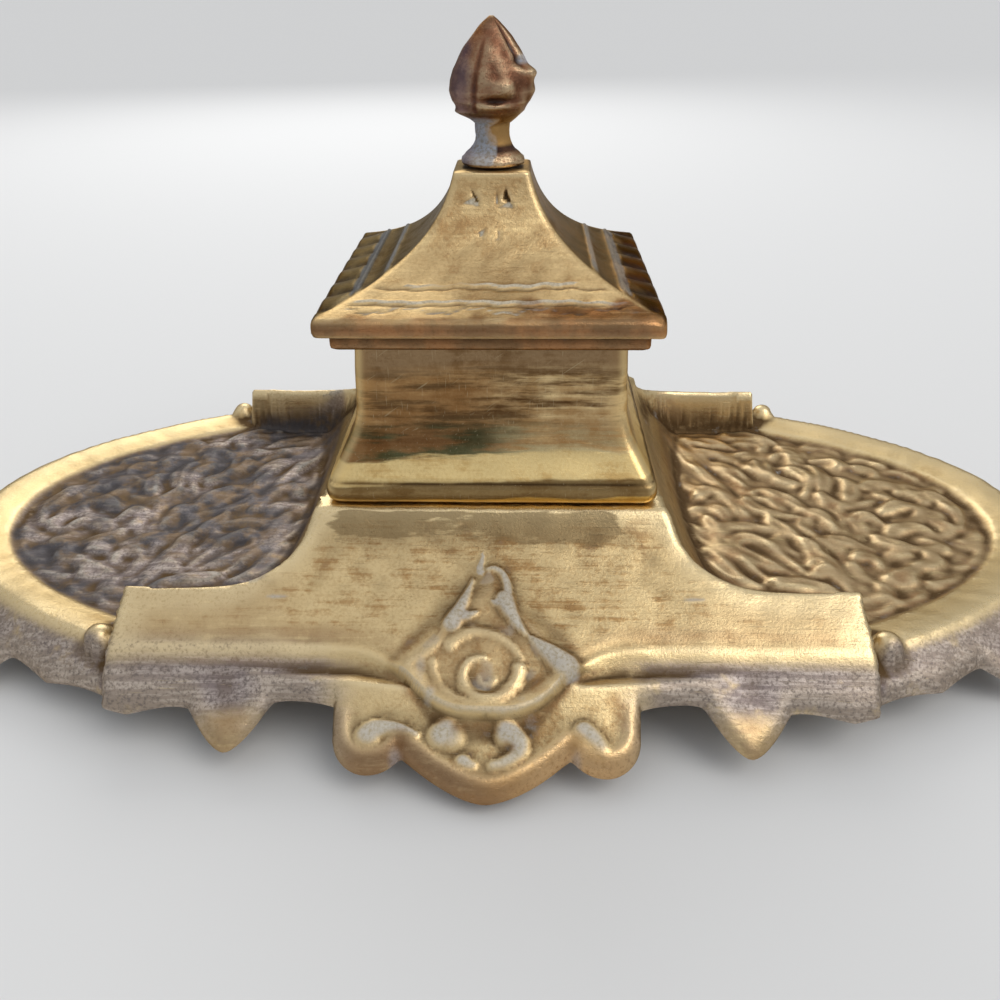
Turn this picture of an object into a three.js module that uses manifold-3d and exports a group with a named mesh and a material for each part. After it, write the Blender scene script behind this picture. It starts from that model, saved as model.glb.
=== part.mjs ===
// Brass desk inkwell: a cast oval tray with two pen dishes, a square well on a
// hollow plinth, a hinged pagoda lid with a bud finial and a loose pot for ink.
// Millimetres, +Z up, -Y is the front. The origin is under the middle of the
// tray, on the table.
import * as THREE from 'three';
import { mergeVertices } from 'three/addons/utils/BufferGeometryUtils.js';
import Module from 'manifold-3d';

const wasm = await Module();
wasm.setup();

// Casting
const WALL = 2.6;
const GAP = 0.3;

// Tray
const RIDGE_Z = 17.6;
const RIM_Z = 15.1;
const RIM_DIP = 1.7;
const RIM_WIDTH = 7.5;
const PANEL_Z = 12.1;
const OVAL_LENGTH = 232;
const OVAL_WIDTH = 120;
const OVAL_SIDES = 52;
const BAR_LENGTH = 132.6;
const BAR_RIDGE_Y = 53.3;
const BAR_WALL_Y = 42.6;

// Apron under the rim, with its scalloped edge
const APRON_REACH = 20.4;
const APRON_CURVE = 0.36;
const TIP_Z = 1.8;
const EDGE_REACH = 6;
const SCALLOP_DEPTH = 1.2;
const SCALLOP_PITCH = 18;
const DRIP_AT = 44;
const DRIP_REACH = 12.4;
const DRIP_HALF = 7.5;
const NOTCH_AT = 14;
const NOTCH_RISE = 6.2;
const LOBE_AT = 19.3;
const LOBE_RADIUS = 6.4;
const LOBE_REACH = 11;

// Swell of the bars: how far the ridge stands out and drops round the boss
const SWELL_OUT = 10.7;
const SWELL_DROP = 4.1;
const SWELL_HALF = 15;

// Shell boss over the middle of each bar, and the ears at the bars' ends
const BOSS_WIDTH = 33;
const BOSS_LENGTH = 30;
const BOSS_PROUD = 11.4;
const BOSS_TILT = 23;
const BOSS_DROP = 2;
const BOSS_EDGE = 2.4;
const EAR_RADIUS = 2.8;
const EAR_OUT = 4;

// Scrolls and leaves in relief
const RELIEF = 1.5;
const SCROLL_WIDTH = 1.7;
const SCROLL_TURNS = 1.35;
const DISH_SCROLL_RADIUS = 8.5;
const LEAF_INSET = 6;
const LEAF_TURN = 9;

// Plinth
const PLINTH_WIDTH = 63.4;
const PLINTH_RISE = 15.3;
const FLANK_RUN = 15;
const FLANK_WAIST = 4.5;

// Well
const WELL_WIDTH = 61.6;
const WELL_BAND = 4;
const WELL_NECK = 49.6;
const WELL_TOP_WIDTH = 48.4;
const WELL_HEIGHT = 29.2;
const WELL_COVE = 13;
const WELL_BULGE = 0.5;
const WELL_CORNER = 1;
const SCREW_BOSS_RADIUS = 4.2;
const SCREW_BOSS_HEIGHT = 11;
const SCREW_PITCH = 42;

// Lid
const LID_WIDTH = 60;
const LID_RIM = 3;
const LID_STEP_WIDTH = 55.2;
const LID_STEP = 2.8;
const LID_LIP_ROOM = 3.4;
const ROOF_CORE = 10;
const ROOF_CURVE = 7.5;
const ROOF_HEIGHT = 19.5;
const LID_WALL = 2.2;
const HOLLOW_RISE = 14.8;
const LID_CORNER = 1.2;
const HOLLOW_CORNER = 2;
const GADROONS = 7;
const GADROON_RADIUS = 1.3;
const GADROON_LENGTH = 6;
const GADROON_SINK = 0.5;

// Finial
const BUD_RADIUS = 7.4;
const BUD_HEIGHT = 15;
const NECK_RADIUS = 3;
const NECK_HEIGHT = 4.2;
const FLANGE_RADIUS = 5.8;
const FLANGE_HEIGHT = 4.5;
const STUD_RADIUS = 1.8;
const STUD_LENGTH = 8;
const NUT_WIDTH = 7;
const NUT_HEIGHT = 2.6;

// Hinge
const HINGE_OUT = 2.4;
const HINGE_UP = 1.5;
const PIN_RADIUS = 1;
const PIN_PLAY = 0.15;
const PIN_END = 0.6;
const BARREL_RADIUS = 2.2;
const LID_BARREL = 10;
const LUG_BARREL = 5;
const LUG_HEIGHT = 7;

// Pot and screws
const POT_RADIUS = 16.8;
const POT_WALL = 2.4;
const POT_DEPTH = 25;
const POT_PLAY = 0.6;
const POT_LIP_WIDTH = 1.8;
const POT_LIP = 1.6;
const POT_ROUND = 2;
const SCREW_RADIUS = 1.5;
const SCREW_HEAD_RADIUS = 3;
const SCREW_HEAD = 1.8;
const SCREW_LENGTH = 11;

// Heights that follow
const PLINTH_Z = RIDGE_Z + PLINTH_RISE;
const WELL_Z = PLINTH_Z + GAP;
const DECK_Z = PLINTH_Z + WELL_HEIGHT - GAP;
const LID_Z = DECK_Z + GAP;
const RIM_TOP_Z = LID_Z + LID_STEP + LID_RIM;
const PLATFORM_Z = RIM_TOP_Z + ROOF_HEIGHT;
const PIN_Y = LID_WIDTH / 2 + HINGE_OUT;
const PIN_Z = LID_Z + HINGE_UP;
const DECK_HOLE_RADIUS = POT_RADIUS + POT_PLAY;
const POT_LIP_RADIUS = POT_RADIUS + POT_LIP_WIDTH;
const LID_OPENING = 2 * (POT_LIP_RADIUS + LID_LIP_ROOM);

// How far blanks run past the table and past the apron before they are trimmed
const BELOW = -6;
const PAST_EDGE = 4;

// Closed solids from rings, outlines and profiles

function toSolid(geometry) {
  const bare = geometry.index ? geometry.toNonIndexed() : geometry.clone();
  bare.deleteAttribute('normal');
  bare.deleteAttribute('uv');
  const merged = mergeVertices(bare, 1e-4);
  const mesh = new wasm.Mesh({
    numProp: 3,
    vertProperties: new Float32Array(merged.attributes.position.array),
    triVerts: new Uint32Array(merged.index.array),
  });
  return new wasm.Manifold(mesh);
}

function toGeometry(solid) {
  const mesh = solid.getMesh();
  const geometry = new THREE.BufferGeometry();
  geometry.setAttribute('position', new THREE.BufferAttribute(mesh.vertProperties, 3));
  geometry.setIndex(new THREE.BufferAttribute(mesh.triVerts, 1));
  return geometry;
}

function union(solids) {
  return solids.reduce((sum, solid) => sum.add(solid));
}

// Skin between rings of points, each ring anticlockwise seen from above, with a
// fan closing the first ring and the last one.
function loft(rings) {
  const count = rings[0].length;
  const positions = [];
  const corner = (point) => positions.push(point.x, point.y, point.z);
  const middle = (ring) => ring.reduce((sum, point) => sum.add(point), new THREE.Vector3())
    .divideScalar(count);
  const first = middle(rings[0]);
  const last = middle(rings[rings.length - 1]);
  for (let i = 0; i < count; i += 1) {
    const next = (i + 1) % count;
    [first, rings[0][next], rings[0][i]].forEach(corner);
    [last, rings[rings.length - 1][i], rings[rings.length - 1][next]].forEach(corner);
    for (let k = 0; k < rings.length - 1; k += 1) {
      const low = rings[k];
      const high = rings[k + 1];
      [low[i], low[next], high[next]].forEach(corner);
      [low[i], high[next], high[i]].forEach(corner);
    }
  }
  const geometry = new THREE.BufferGeometry();
  geometry.setAttribute('position', new THREE.Float32BufferAttribute(positions, 3));
  return toSolid(geometry);
}

// A (y, z) outline extruded along X, centred on x = 0.
function extrudeAlongX(outline, length) {
  const geometry = new THREE.ExtrudeGeometry(new THREE.Shape(outline), {
    depth: length,
    bevelEnabled: false,
  });
  geometry.translate(0, 0, -length / 2);
  const turn = new THREE.Matrix4().set(0, 0, 1, 0, 1, 0, 0, 0, 0, 1, 0, 0, 0, 0, 0, 1);
  geometry.applyMatrix4(turn);
  return toSolid(geometry);
}

// An (x, y) outline extruded from one height to another.
function extrudeUp(outline, low, high) {
  const geometry = new THREE.ExtrudeGeometry(new THREE.Shape(outline), {
    depth: high - low,
    bevelEnabled: false,
  });
  geometry.translate(0, 0, low);
  return toSolid(geometry);
}

function box(x0, x1, y0, y1, z0, z1) {
  const geometry = new THREE.BoxGeometry(x1 - x0, y1 - y0, z1 - z0);
  geometry.translate((x0 + x1) / 2, (y0 + y1) / 2, (z0 + z1) / 2);
  return toSolid(geometry);
}

// A profile of (radius, z) points turned about Z, from axis to axis.
function turned(profile, sides) {
  const geometry = new THREE.LatheGeometry(profile, sides);
  geometry.rotateX(Math.PI / 2);
  return toSolid(geometry);
}

function rod(radius, z0, z1, sides) {
  return turned([
    new THREE.Vector2(0, z0),
    new THREE.Vector2(radius, z0),
    new THREE.Vector2(radius, z1),
    new THREE.Vector2(0, z1),
  ], sides);
}

function rodAlongX(radius, x0, x1, y, z, sides) {
  const geometry = new THREE.CylinderGeometry(radius, radius, x1 - x0, sides);
  geometry.rotateZ(Math.PI / 2);
  geometry.translate((x0 + x1) / 2, y, z);
  return toSolid(geometry);
}

// A bead of round section along a path, level at its two sides, with its own
// radius at each point of the path.
function bead(points, radii, sides) {
  const rings = points.map((point, i) => {
    const before = points[Math.max(i - 1, 0)];
    const after = points[Math.min(i + 1, points.length - 1)];
    const way = after.clone().sub(before).normalize();
    const across = new THREE.Vector3(-way.y, way.x, 0).normalize();
    const upward = way.clone().cross(across);
    const ring = [];
    for (let k = 0; k < sides; k += 1) {
      const angle = (2 * Math.PI * k) / sides;
      ring.push(point.clone()
        .addScaledVector(across, radii[i] * Math.cos(angle))
        .addScaledVector(upward, radii[i] * Math.sin(angle)));
    }
    return ring;
  });
  return loft(rings);
}

// A flat spiral bead that thins towards its outer end and swells at its eye.
function scroll(x, y, z, radius, start, hand) {
  const steps = 10;
  const points = [];
  const radii = [];
  for (let i = 0; i <= steps; i += 1) {
    const part = i / steps;
    const angle = start + hand * 2 * Math.PI * SCROLL_TURNS * part;
    const reach = radius * (1 - 0.82 * part);
    points.push(new THREE.Vector3(x + reach * Math.cos(angle), y + reach * Math.sin(angle), z));
    radii.push(SCROLL_WIDTH * (0.45 + 0.55 * Math.sin(Math.PI * (0.15 + 0.6 * part))));
  }
  return bead(points, radii, 4);
}

// Both halves of a solid that is modelled at +y.
function mirrored(solid) {
  return solid.add(solid.mirror([0, 1, 0]));
}

// Cast tray

const OVAL_A = OVAL_LENGTH / 2;
const OVAL_B = OVAL_WIDTH / 2;
const BAR_HALF = BAR_LENGTH / 2;
const PLINTH_HALF = PLINTH_WIDTH / 2;

// Fall of the apron, from its crest to the tips that stand on the table.
function apronZ(crest, reach) {
  const part = reach / APRON_REACH;
  return crest - (crest - TIP_Z) * part * (1 + APRON_CURVE - APRON_CURVE * part);
}

// Concave face from the plinth's top edge down to the ridge of the bar.
function coveFall(part) {
  return 0.78 * (1 - part) ** 0.9 + 0.22 * Math.exp(-part / 0.16) * (1 - part);
}

function ellipseRing(a, b, z) {
  const ring = [];
  for (let i = 0; i < OVAL_SIDES; i += 1) {
    const angle = (2 * Math.PI * i) / OVAL_SIDES;
    ring.push(new THREE.Vector3(a * Math.cos(angle), b * Math.sin(angle), z));
  }
  return ring;
}

// Oval dish with its rim band and apron, solid down past the table.
function ovalSolid() {
  const past = APRON_REACH + PAST_EDGE;
  const rings = [ellipseRing(OVAL_A + past, OVAL_B + past, BELOW)];
  for (let k = 5; k >= 0; k -= 1) {
    const reach = (past * k) / 5;
    const z = apronZ(RIM_Z, reach);
    rings.push(ellipseRing(OVAL_A + reach, OVAL_B + reach, z));
  }
  const inner = RIM_WIDTH;
  rings.push(ellipseRing(OVAL_A - inner / 2, OVAL_B - inner / 2, RIM_Z - RIM_DIP * 0.3));
  rings.push(ellipseRing(OVAL_A - inner, OVAL_B - inner, RIM_Z - RIM_DIP));
  rings.push(ellipseRing(OVAL_A - inner - 1.5, OVAL_B - inner - 1.5, PANEL_Z));
  return loft(rings);
}

// Section across the bars and the plinth at x: apron, ridge, cove and flat top.
// Round the boss the ridge stands out and drops, and the apron is shorter.
function crossSection(x) {
  const side = [];
  const away = Math.abs(x);
  const swell = Math.exp(-((away / SWELL_HALF) ** 3));
  const out = SWELL_OUT * swell;
  const drop = SWELL_DROP * swell;
  const crest = BAR_RIDGE_Y + out;
  const tip = Math.exp(-((away / LOBE_AT) ** 2.2));
  const span = EDGE_REACH + (APRON_REACH - EDGE_REACH) * tip;
  const squeeze = 1 - out / span;
  const past = APRON_REACH + PAST_EDGE;
  side.push(new THREE.Vector3(x, crest + past * squeeze, BELOW));
  for (let k = 4; k > 0; k -= 1) {
    const reach = (past * k) / 4;
    const z = apronZ(RIDGE_Z, reach) - drop * Math.max(0, 1 - reach / span);
    side.push(new THREE.Vector3(x, crest + reach * squeeze, z));
  }
  for (let k = 8; k >= 0; k -= 1) {
    const y = PLINTH_HALF + (crest - PLINTH_HALF) * (k / 8) ** 1.3;
    const rise = Math.max(0, (y - BAR_WALL_Y) / (crest - BAR_WALL_Y)) ** 1.5;
    const part = (y - out * rise - PLINTH_HALF) / (BAR_RIDGE_Y - PLINTH_HALF);
    side.push(new THREE.Vector3(x, y, RIDGE_Z + PLINTH_RISE * coveFall(part) - drop * rise));
  }
  const other = side.map((point) => new THREE.Vector3(x, -point.y, point.z)).reverse();
  return side.concat(other);
}

// The bars and the plinth as one blank along X, with close sections round the
// boss. The hollow gets fewer of them.
function barBlank(inset) {
  const shares = inset === 0 ? [0.35, 0.6, 0.8, 1, 1.2, 1.5] : [0.6, 1, 1.5];
  const right = shares.map((share) => share * SWELL_HALF).concat(BAR_HALF - inset);
  const left = right.map((x) => -x).reverse();
  return loft(left.concat(0, right).map((x) => crossSection(x)));
}

// Side walls of the plinth: they fall to the pen dishes and are waisted in plan.
function flankSolid(inset) {
  const rings = [];
  const drop = PLINTH_Z - PANEL_Z;
  const heights = [BELOW - 2 * WALL];
  for (let k = 8; k >= 0; k -= 1) {
    heights.push(k / 8);
  }
  heights.forEach((value, index) => {
    const part = index === 0 ? 1 : value;
    const z = index === 0 ? value : PANEL_Z + drop * coveFall(part);
    const half = PLINTH_HALF + FLANK_RUN * part - inset;
    const waist = FLANK_WAIST * part;
    const ring = [];
    const steps = 10;
    for (let i = 0; i <= steps; i += 1) {
      const y = BAR_WALL_Y * (-1 + (2 * i) / steps);
      ring.push(new THREE.Vector3(half - waist * (1 - (y / BAR_WALL_Y) ** 2), y, z));
    }
    const other = ring.map((point) => new THREE.Vector3(-point.x, -point.y, z));
    rings.push(ring.concat(other));
  });
  const top = rings[rings.length - 1].map((point) => point.clone().setZ(PLINTH_Z + WALL));
  rings.push(top);
  return loft(rings);
}

function raisedSolid(inset) {
  const across = barBlank(inset);
  const deep = BAR_RIDGE_Y + 2 * APRON_REACH;
  const bar = box(-BAR_HALF, BAR_HALF, BAR_WALL_Y + inset, deep, BELOW - WALL, PLINTH_Z + WALL);
  const into = BAR_WALL_Y + 2 * WALL;
  const plinth = flankSolid(inset).add(
    box(-PLINTH_HALF, PLINTH_HALF, -into, into, BELOW, PLINTH_Z + WALL),
  );
  return across.intersect(plinth.add(mirrored(bar)));
}

function traySolid() {
  const far = OVAL_B + 2 * APRON_REACH;
  const cutter = (inset) => mirrored(
    box(-BAR_HALF + inset, BAR_HALF - inset, BAR_WALL_Y + inset, far, BELOW - WALL, PLINTH_Z),
  );
  const oval = ovalSolid();
  const dish = oval.subtract(cutter(0)).add(dishScrolls()).add(dishLeaves());
  const outer = union([dish, raisedSolid(0), mirrored(bossSolid(0)), mirrored(earSolids())]);
  const lowered = oval.translate([0, 0, -WALL]).subtract(cutter(WALL));
  const hollow = raisedSolid(WALL).add(mirrored(bossSolid(WALL)));
  const inner = lowered.add(hollow.translate([0, 0, -WALL]));
  const trimmed = outer.subtract(inner).intersect(extrudeUp(apronOutline(), 0, PLINTH_Z + WALL));
  return trimmed.subtract(screwHoles(PLINTH_Z - 2 * WALL, PLINTH_Z + GAP));
}

// How far the apron's edge reaches out at a distance from a cartouche's middle:
// a pointed tip, a round lobe each side of it, a drip and shallow scallops.
function edgeReach(distance) {
  const along = Math.abs(distance);
  const wave = Math.abs(Math.sin((Math.PI * (along - DRIP_AT)) / SCALLOP_PITCH));
  const scallop = EDGE_REACH + SCALLOP_DEPTH * (1 - wave);
  const fromDrip = Math.min(1, Math.abs(along - DRIP_AT) / DRIP_HALF);
  const drip = DRIP_REACH - (DRIP_REACH - EDGE_REACH) * fromDrip ** 1.5;
  if (along < NOTCH_AT) {
    return APRON_REACH - NOTCH_RISE * (along / NOTCH_AT) ** 1.6;
  }
  const fromLobe = Math.min(1, Math.abs(along - LOBE_AT) / LOBE_RADIUS);
  const round = Math.sqrt(1 - fromLobe ** 2);
  const lobe = fromLobe < 1 ? LOBE_REACH + 0.85 * LOBE_RADIUS * round : 0;
  return Math.max(scallop, drip, lobe);
}

// Plan outline of the whole tray: straight along the bars, round at the ends.
function apronOutline() {
  const quarter = [];
  const step = 2.2;
  const straight = Math.round(BAR_HALF / step);
  for (let i = 0; i <= straight; i += 1) {
    const x = (BAR_HALF * i) / straight;
    quarter.push(new THREE.Vector2(x, BAR_RIDGE_Y + edgeReach(x)));
  }
  const start = Math.acos(BAR_HALF / OVAL_A);
  const turns = 45;
  const arc = [];
  let length = 0;
  let last = new THREE.Vector2(OVAL_A, 0);
  for (let i = 0; i <= turns; i += 1) {
    const angle = (start * i) / turns;
    const point = new THREE.Vector2(OVAL_A * Math.cos(angle), OVAL_B * Math.sin(angle));
    length += point.distanceTo(last);
    last = point.clone();
    const normal = new THREE.Vector2(point.x / OVAL_A ** 2, point.y / OVAL_B ** 2).normalize();
    arc.push(point.addScaledVector(normal, edgeReach(length)));
  }
  const right = quarter.concat(arc.reverse());
  const flip = (points, sx, sy) => points.map((p) => new THREE.Vector2(p.x * sx, p.y * sy));
  const lowerRight = flip(right, 1, -1).reverse().slice(1);
  const lowerLeft = flip(right, -1, -1).slice(1);
  const upperLeft = flip(right, -1, 1).reverse().slice(1, -1);
  return right.concat(lowerRight, lowerLeft, upperLeft).reverse();
}

// Shell boss: a teardrop outline on a tilted plane, its point up the cove and
// its round end past the ridge, with a raised edge and a scroll inside.
function bossRing(shrink, lift) {
  const ring = [];
  const sides = 28;
  const half = BOSS_LENGTH / 2;
  const widest = 0.65;
  for (let i = 0; i < sides; i += 1) {
    const angle = (2 * Math.PI * (i + 0.5)) / sides;
    const wide = (Math.sin(angle) * Math.sin(angle / 2) ** 2) / widest;
    const x = (BOSS_WIDTH / 2 - shrink) * wide;
    const y = -(half - shrink) * Math.cos(angle);
    ring.push(new THREE.Vector3(x, y, lift));
  }
  return ring;
}

function bossSolid(inset) {
  const deep = BOSS_PROUD + 2 * WALL;
  const rings = [bossRing(inset, -deep), bossRing(inset, 0)];
  if (inset === 0) {
    rings.push(bossRing(BOSS_EDGE * 0.4, 0.7));
    rings.push(bossRing(BOSS_EDGE, 0.5));
    rings.push(bossRing(BOSS_EDGE * 1.5, -0.4));
  }
  const half = BOSS_LENGTH / 2;
  let shell = loft(rings);
  if (inset === 0) {
    shell = shell.add(scroll(0, half * 0.33, -0.2, BOSS_WIDTH * 0.22, Math.PI, 1));
  }
  const tilt = THREE.MathUtils.degToRad(BOSS_TILT);
  const middleY = BAR_RIDGE_Y + BOSS_PROUD - half * Math.cos(tilt);
  const middleZ = RIDGE_Z - BOSS_DROP + half * Math.sin(tilt);
  return shell.rotate([-BOSS_TILT, 0, 0]).translate([0, middleY, middleZ]);
}

// Scrolls that fill the pen dishes, in pairs either side of the long axis.
function dishScrolls() {
  const z = PANEL_Z + RELIEF - SCROLL_WIDTH;
  const inside = PLINTH_HALF + FLANK_RUN;
  const room = OVAL_A - RIM_WIDTH - inside;
  const beads = [];
  [[0.22, 0.6, 1, 0.2], [0.52, 0.4, 0.94, 2.6], [0.2, 0.2, 0.88, 4.4]].forEach((place) => {
    const [along, aside, share, start] = place;
    const x = inside + room * along;
    const y = BAR_WALL_Y * aside;
    beads.push(scroll(x, y, z, DISH_SCROLL_RADIUS * share, start, 1));
    beads.push(scroll(x, -y, z, DISH_SCROLL_RADIUS * share, -start, -1));
  });
  beads.push(scroll(inside + room * 0.82, 0, z, DISH_SCROLL_RADIUS * 0.82, Math.PI, 1));
  const right = union(beads);
  return right.add(right.mirror([1, 0, 0]));
}

// Leaves round the scrolls: a long one at each end of the plinth's foot, and a
// row of short ones that follows the rim. Each is fat at its head and thins out.
function dishLeaves() {
  const z = PANEL_Z + RELIEF - SCROLL_WIDTH;
  const foot = PLINTH_HALF + FLANK_RUN;
  const beads = [];
  const leaf = (places) => {
    const steps = 4;
    const points = new THREE.CatmullRomCurve3(places).getPoints(steps);
    const radii = points.map((point, i) => SCROLL_WIDTH * (1 - (0.6 * i) / steps));
    beads.push(bead(points, radii, 4));
  };
  const rimPoint = (degrees, inward) => {
    const angle = THREE.MathUtils.degToRad(degrees);
    const inset = RIM_WIDTH + LEAF_INSET + inward;
    return new THREE.Vector3((OVAL_A - inset) * Math.cos(angle), (OVAL_B - inset) * Math.sin(angle), z);
  };
  [1, -1].forEach((side) => {
    leaf([[0.5, 0.86], [1.5, 0.6], [2.5, 0.34], [1, 0.1]].map(([out, aside]) => (
      new THREE.Vector3(foot + out, side * BAR_WALL_Y * aside, z)
    )));
    [12, 30, 50].forEach((degrees) => {
      leaf([
        rimPoint(side * (degrees - LEAF_TURN), 0),
        rimPoint(side * degrees, -SCROLL_WIDTH),
        rimPoint(side * (degrees + LEAF_TURN), 2 * SCROLL_WIDTH),
      ]);
    });
  });
  const right = union(beads);
  return right.add(right.mirror([1, 0, 0]));
}

function earSolids() {
  const geometry = new THREE.SphereGeometry(EAR_RADIUS, 9, 6);
  const ear = toSolid(geometry);
  const x = BAR_HALF + EAR_OUT;
  const y = OVAL_B * Math.sqrt(1 - (x / OVAL_A) ** 2);
  const z = RIDGE_Z - EAR_RADIUS;
  return ear.translate([x, y, z]).add(ear.translate([-x, y, z]));
}

// Screws and their holes, on a square pitch

function screwPlaces() {
  const half = SCREW_PITCH / 2;
  return [
    ['front_left', -half, -half],
    ['front_right', half, -half],
    ['rear_left', -half, half],
    ['rear_right', half, half],
  ];
}

function screwHoles(z0, z1) {
  const hole = rod(SCREW_RADIUS + GAP, z0, z1, 16);
  return union(screwPlaces().map(([, x, y]) => hole.translate([x, y, 0])));
}

function screwSolid() {
  const under = PLINTH_Z - WALL - GAP;
  const top = under + SCREW_LENGTH;
  return turned([
    new THREE.Vector2(0, under - SCREW_HEAD),
    new THREE.Vector2(SCREW_HEAD_RADIUS * 0.7, under - SCREW_HEAD),
    new THREE.Vector2(SCREW_HEAD_RADIUS, under - SCREW_HEAD * 0.5),
    new THREE.Vector2(SCREW_HEAD_RADIUS, under),
    new THREE.Vector2(SCREW_RADIUS, under),
    new THREE.Vector2(SCREW_RADIUS, top - SCREW_RADIUS),
    new THREE.Vector2(0, top),
  ], 12);
}

// Well: a hollow square box with a bullnose foot, a cavetto and a drilled deck

function squareRing(half, z, radius) {
  const ring = [];
  const arc = 2;
  for (let corner = 0; corner < 4; corner += 1) {
    const start = (corner * Math.PI) / 2;
    const sx = corner === 0 || corner === 3 ? 1 : -1;
    const sy = corner < 2 ? 1 : -1;
    for (let i = 0; i <= arc; i += 1) {
      const angle = start + (Math.PI / 2) * (i / arc);
      const x = sx * (half - radius) + radius * Math.cos(angle);
      const y = sy * (half - radius) + radius * Math.sin(angle);
      ring.push(new THREE.Vector3(x, y, z));
    }
  }
  return ring;
}

// Half width of the well at a height over its foot.
function wellHalf(height) {
  const foot = WELL_WIDTH / 2;
  const neck = WELL_NECK / 2;
  if (height < WELL_BAND) {
    const bulge = (2 * height) / WELL_BAND - 1;
    return foot - WELL_BULGE * bulge ** 2;
  }
  if (height < WELL_BAND + WELL_COVE) {
    const part = (height - WELL_BAND) / WELL_COVE;
    return neck + (foot - WELL_BULGE - neck) * (1 - Math.sin((part * Math.PI) / 2));
  }
  const part = (height - WELL_BAND - WELL_COVE) / (WELL_HEIGHT - WELL_BAND - WELL_COVE);
  return neck + (WELL_TOP_WIDTH / 2 - neck) * part;
}

function wellSolid() {
  const tall = DECK_Z - WELL_Z;
  const levels = [0, 0.25 * WELL_BAND, 0.75 * WELL_BAND, WELL_BAND];
  for (let k = 1; k <= 8; k += 1) {
    levels.push(WELL_BAND + (WELL_COVE * k) / 8);
  }
  levels.push(tall);
  const outer = loft(levels.map((h) => squareRing(wellHalf(h), WELL_Z + h, WELL_CORNER)));
  const hollow = loft([squareRing(wellHalf(0) - WALL, WELL_Z - WALL, WELL_CORNER)].concat(
    levels.map((h) => {
      const z = WELL_Z + h - (h === tall ? WALL : 0);
      return squareRing(wellHalf(h) - WALL, z, WELL_CORNER);
    }),
  ));
  const post = rod(SCREW_BOSS_RADIUS, WELL_Z, WELL_Z + SCREW_BOSS_HEIGHT, 12);
  const posts = union(screwPlaces().map(([, x, y]) => post.translate([x, y, 0])));
  const pocket = SCREW_LENGTH - WALL;
  const shell = outer.subtract(hollow).add(posts.intersect(outer)).add(lugSolids());
  const hole = rod(DECK_HOLE_RADIUS, DECK_Z - 2 * WALL, DECK_Z + WALL, 40);
  return shell.subtract(hole)
    .subtract(screwHoles(WELL_Z - WALL, WELL_Z + pocket))
    .subtract(pinBore());
}

// Hinge: two lugs on the well, one barrel on the lid and the pin through them

function pinBore() {
  const reach = LID_BARREL / 2 + LUG_BARREL + WALL;
  return rodAlongX(PIN_RADIUS + PIN_PLAY, -reach, reach, PIN_Y, PIN_Z, 16);
}

function lugSolids() {
  const inner = LID_BARREL / 2 + GAP;
  const outer = inner + LUG_BARREL;
  const neck = wellHalf(DECK_Z - WELL_Z) - WALL / 2;
  const low = DECK_Z - LUG_HEIGHT;
  const arm = [
    new THREE.Vector2(neck, low),
    new THREE.Vector2(neck, DECK_Z - GAP),
    new THREE.Vector2(PIN_Y - BARREL_RADIUS, DECK_Z - GAP),
    new THREE.Vector2(PIN_Y - BARREL_RADIUS * 0.8, PIN_Z),
    new THREE.Vector2(PIN_Y, PIN_Z),
    new THREE.Vector2(PIN_Y + BARREL_RADIUS * 0.75, PIN_Z - BARREL_RADIUS * 0.6),
  ];
  const lug = extrudeAlongX(arm.reverse(), LUG_BARREL)
    .translate([(inner + outer) / 2, 0, 0])
    .add(rodAlongX(BARREL_RADIUS, inner, outer, PIN_Y, PIN_Z, 20));
  return lug.add(lug.mirror([1, 0, 0]));
}

function lidBarrelSolid() {
  const half = LID_BARREL / 2;
  const rim = LID_WIDTH / 2;
  const leaf = [
    new THREE.Vector2(rim - WALL, RIM_TOP_Z - LID_RIM * 0.3),
    new THREE.Vector2(rim - WALL, LID_Z + LID_STEP),
    new THREE.Vector2(PIN_Y - BARREL_RADIUS * 0.5, PIN_Z),
    new THREE.Vector2(PIN_Y + BARREL_RADIUS * 0.7, PIN_Z + BARREL_RADIUS * 0.6),
  ];
  return extrudeAlongX(leaf, LID_BARREL)
    .add(rodAlongX(BARREL_RADIUS, -half, half, PIN_Y, PIN_Z, 20));
}

function pinSolid() {
  const reach = LID_BARREL / 2 + GAP + LUG_BARREL + PIN_END;
  return rodAlongX(PIN_RADIUS, -reach, reach, PIN_Y, PIN_Z, 16);
}

// Lid: a pagoda roof on a square rim, hollow under the roof

function roofHalf(height) {
  const core = ROOF_CORE / 2;
  return core + (LID_WIDTH / 2 - core) * Math.exp(-height / ROOF_CURVE);
}

// The point one wall thickness inside the roof, square to its face.
function underRoof(height) {
  const slope = (roofHalf(height) - ROOF_CORE / 2) / ROOF_CURVE;
  const lean = Math.hypot(1, slope);
  return {
    half: roofHalf(height) - LID_WALL / lean,
    z: RIM_TOP_Z + height - (LID_WALL * slope) / lean,
  };
}

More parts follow.
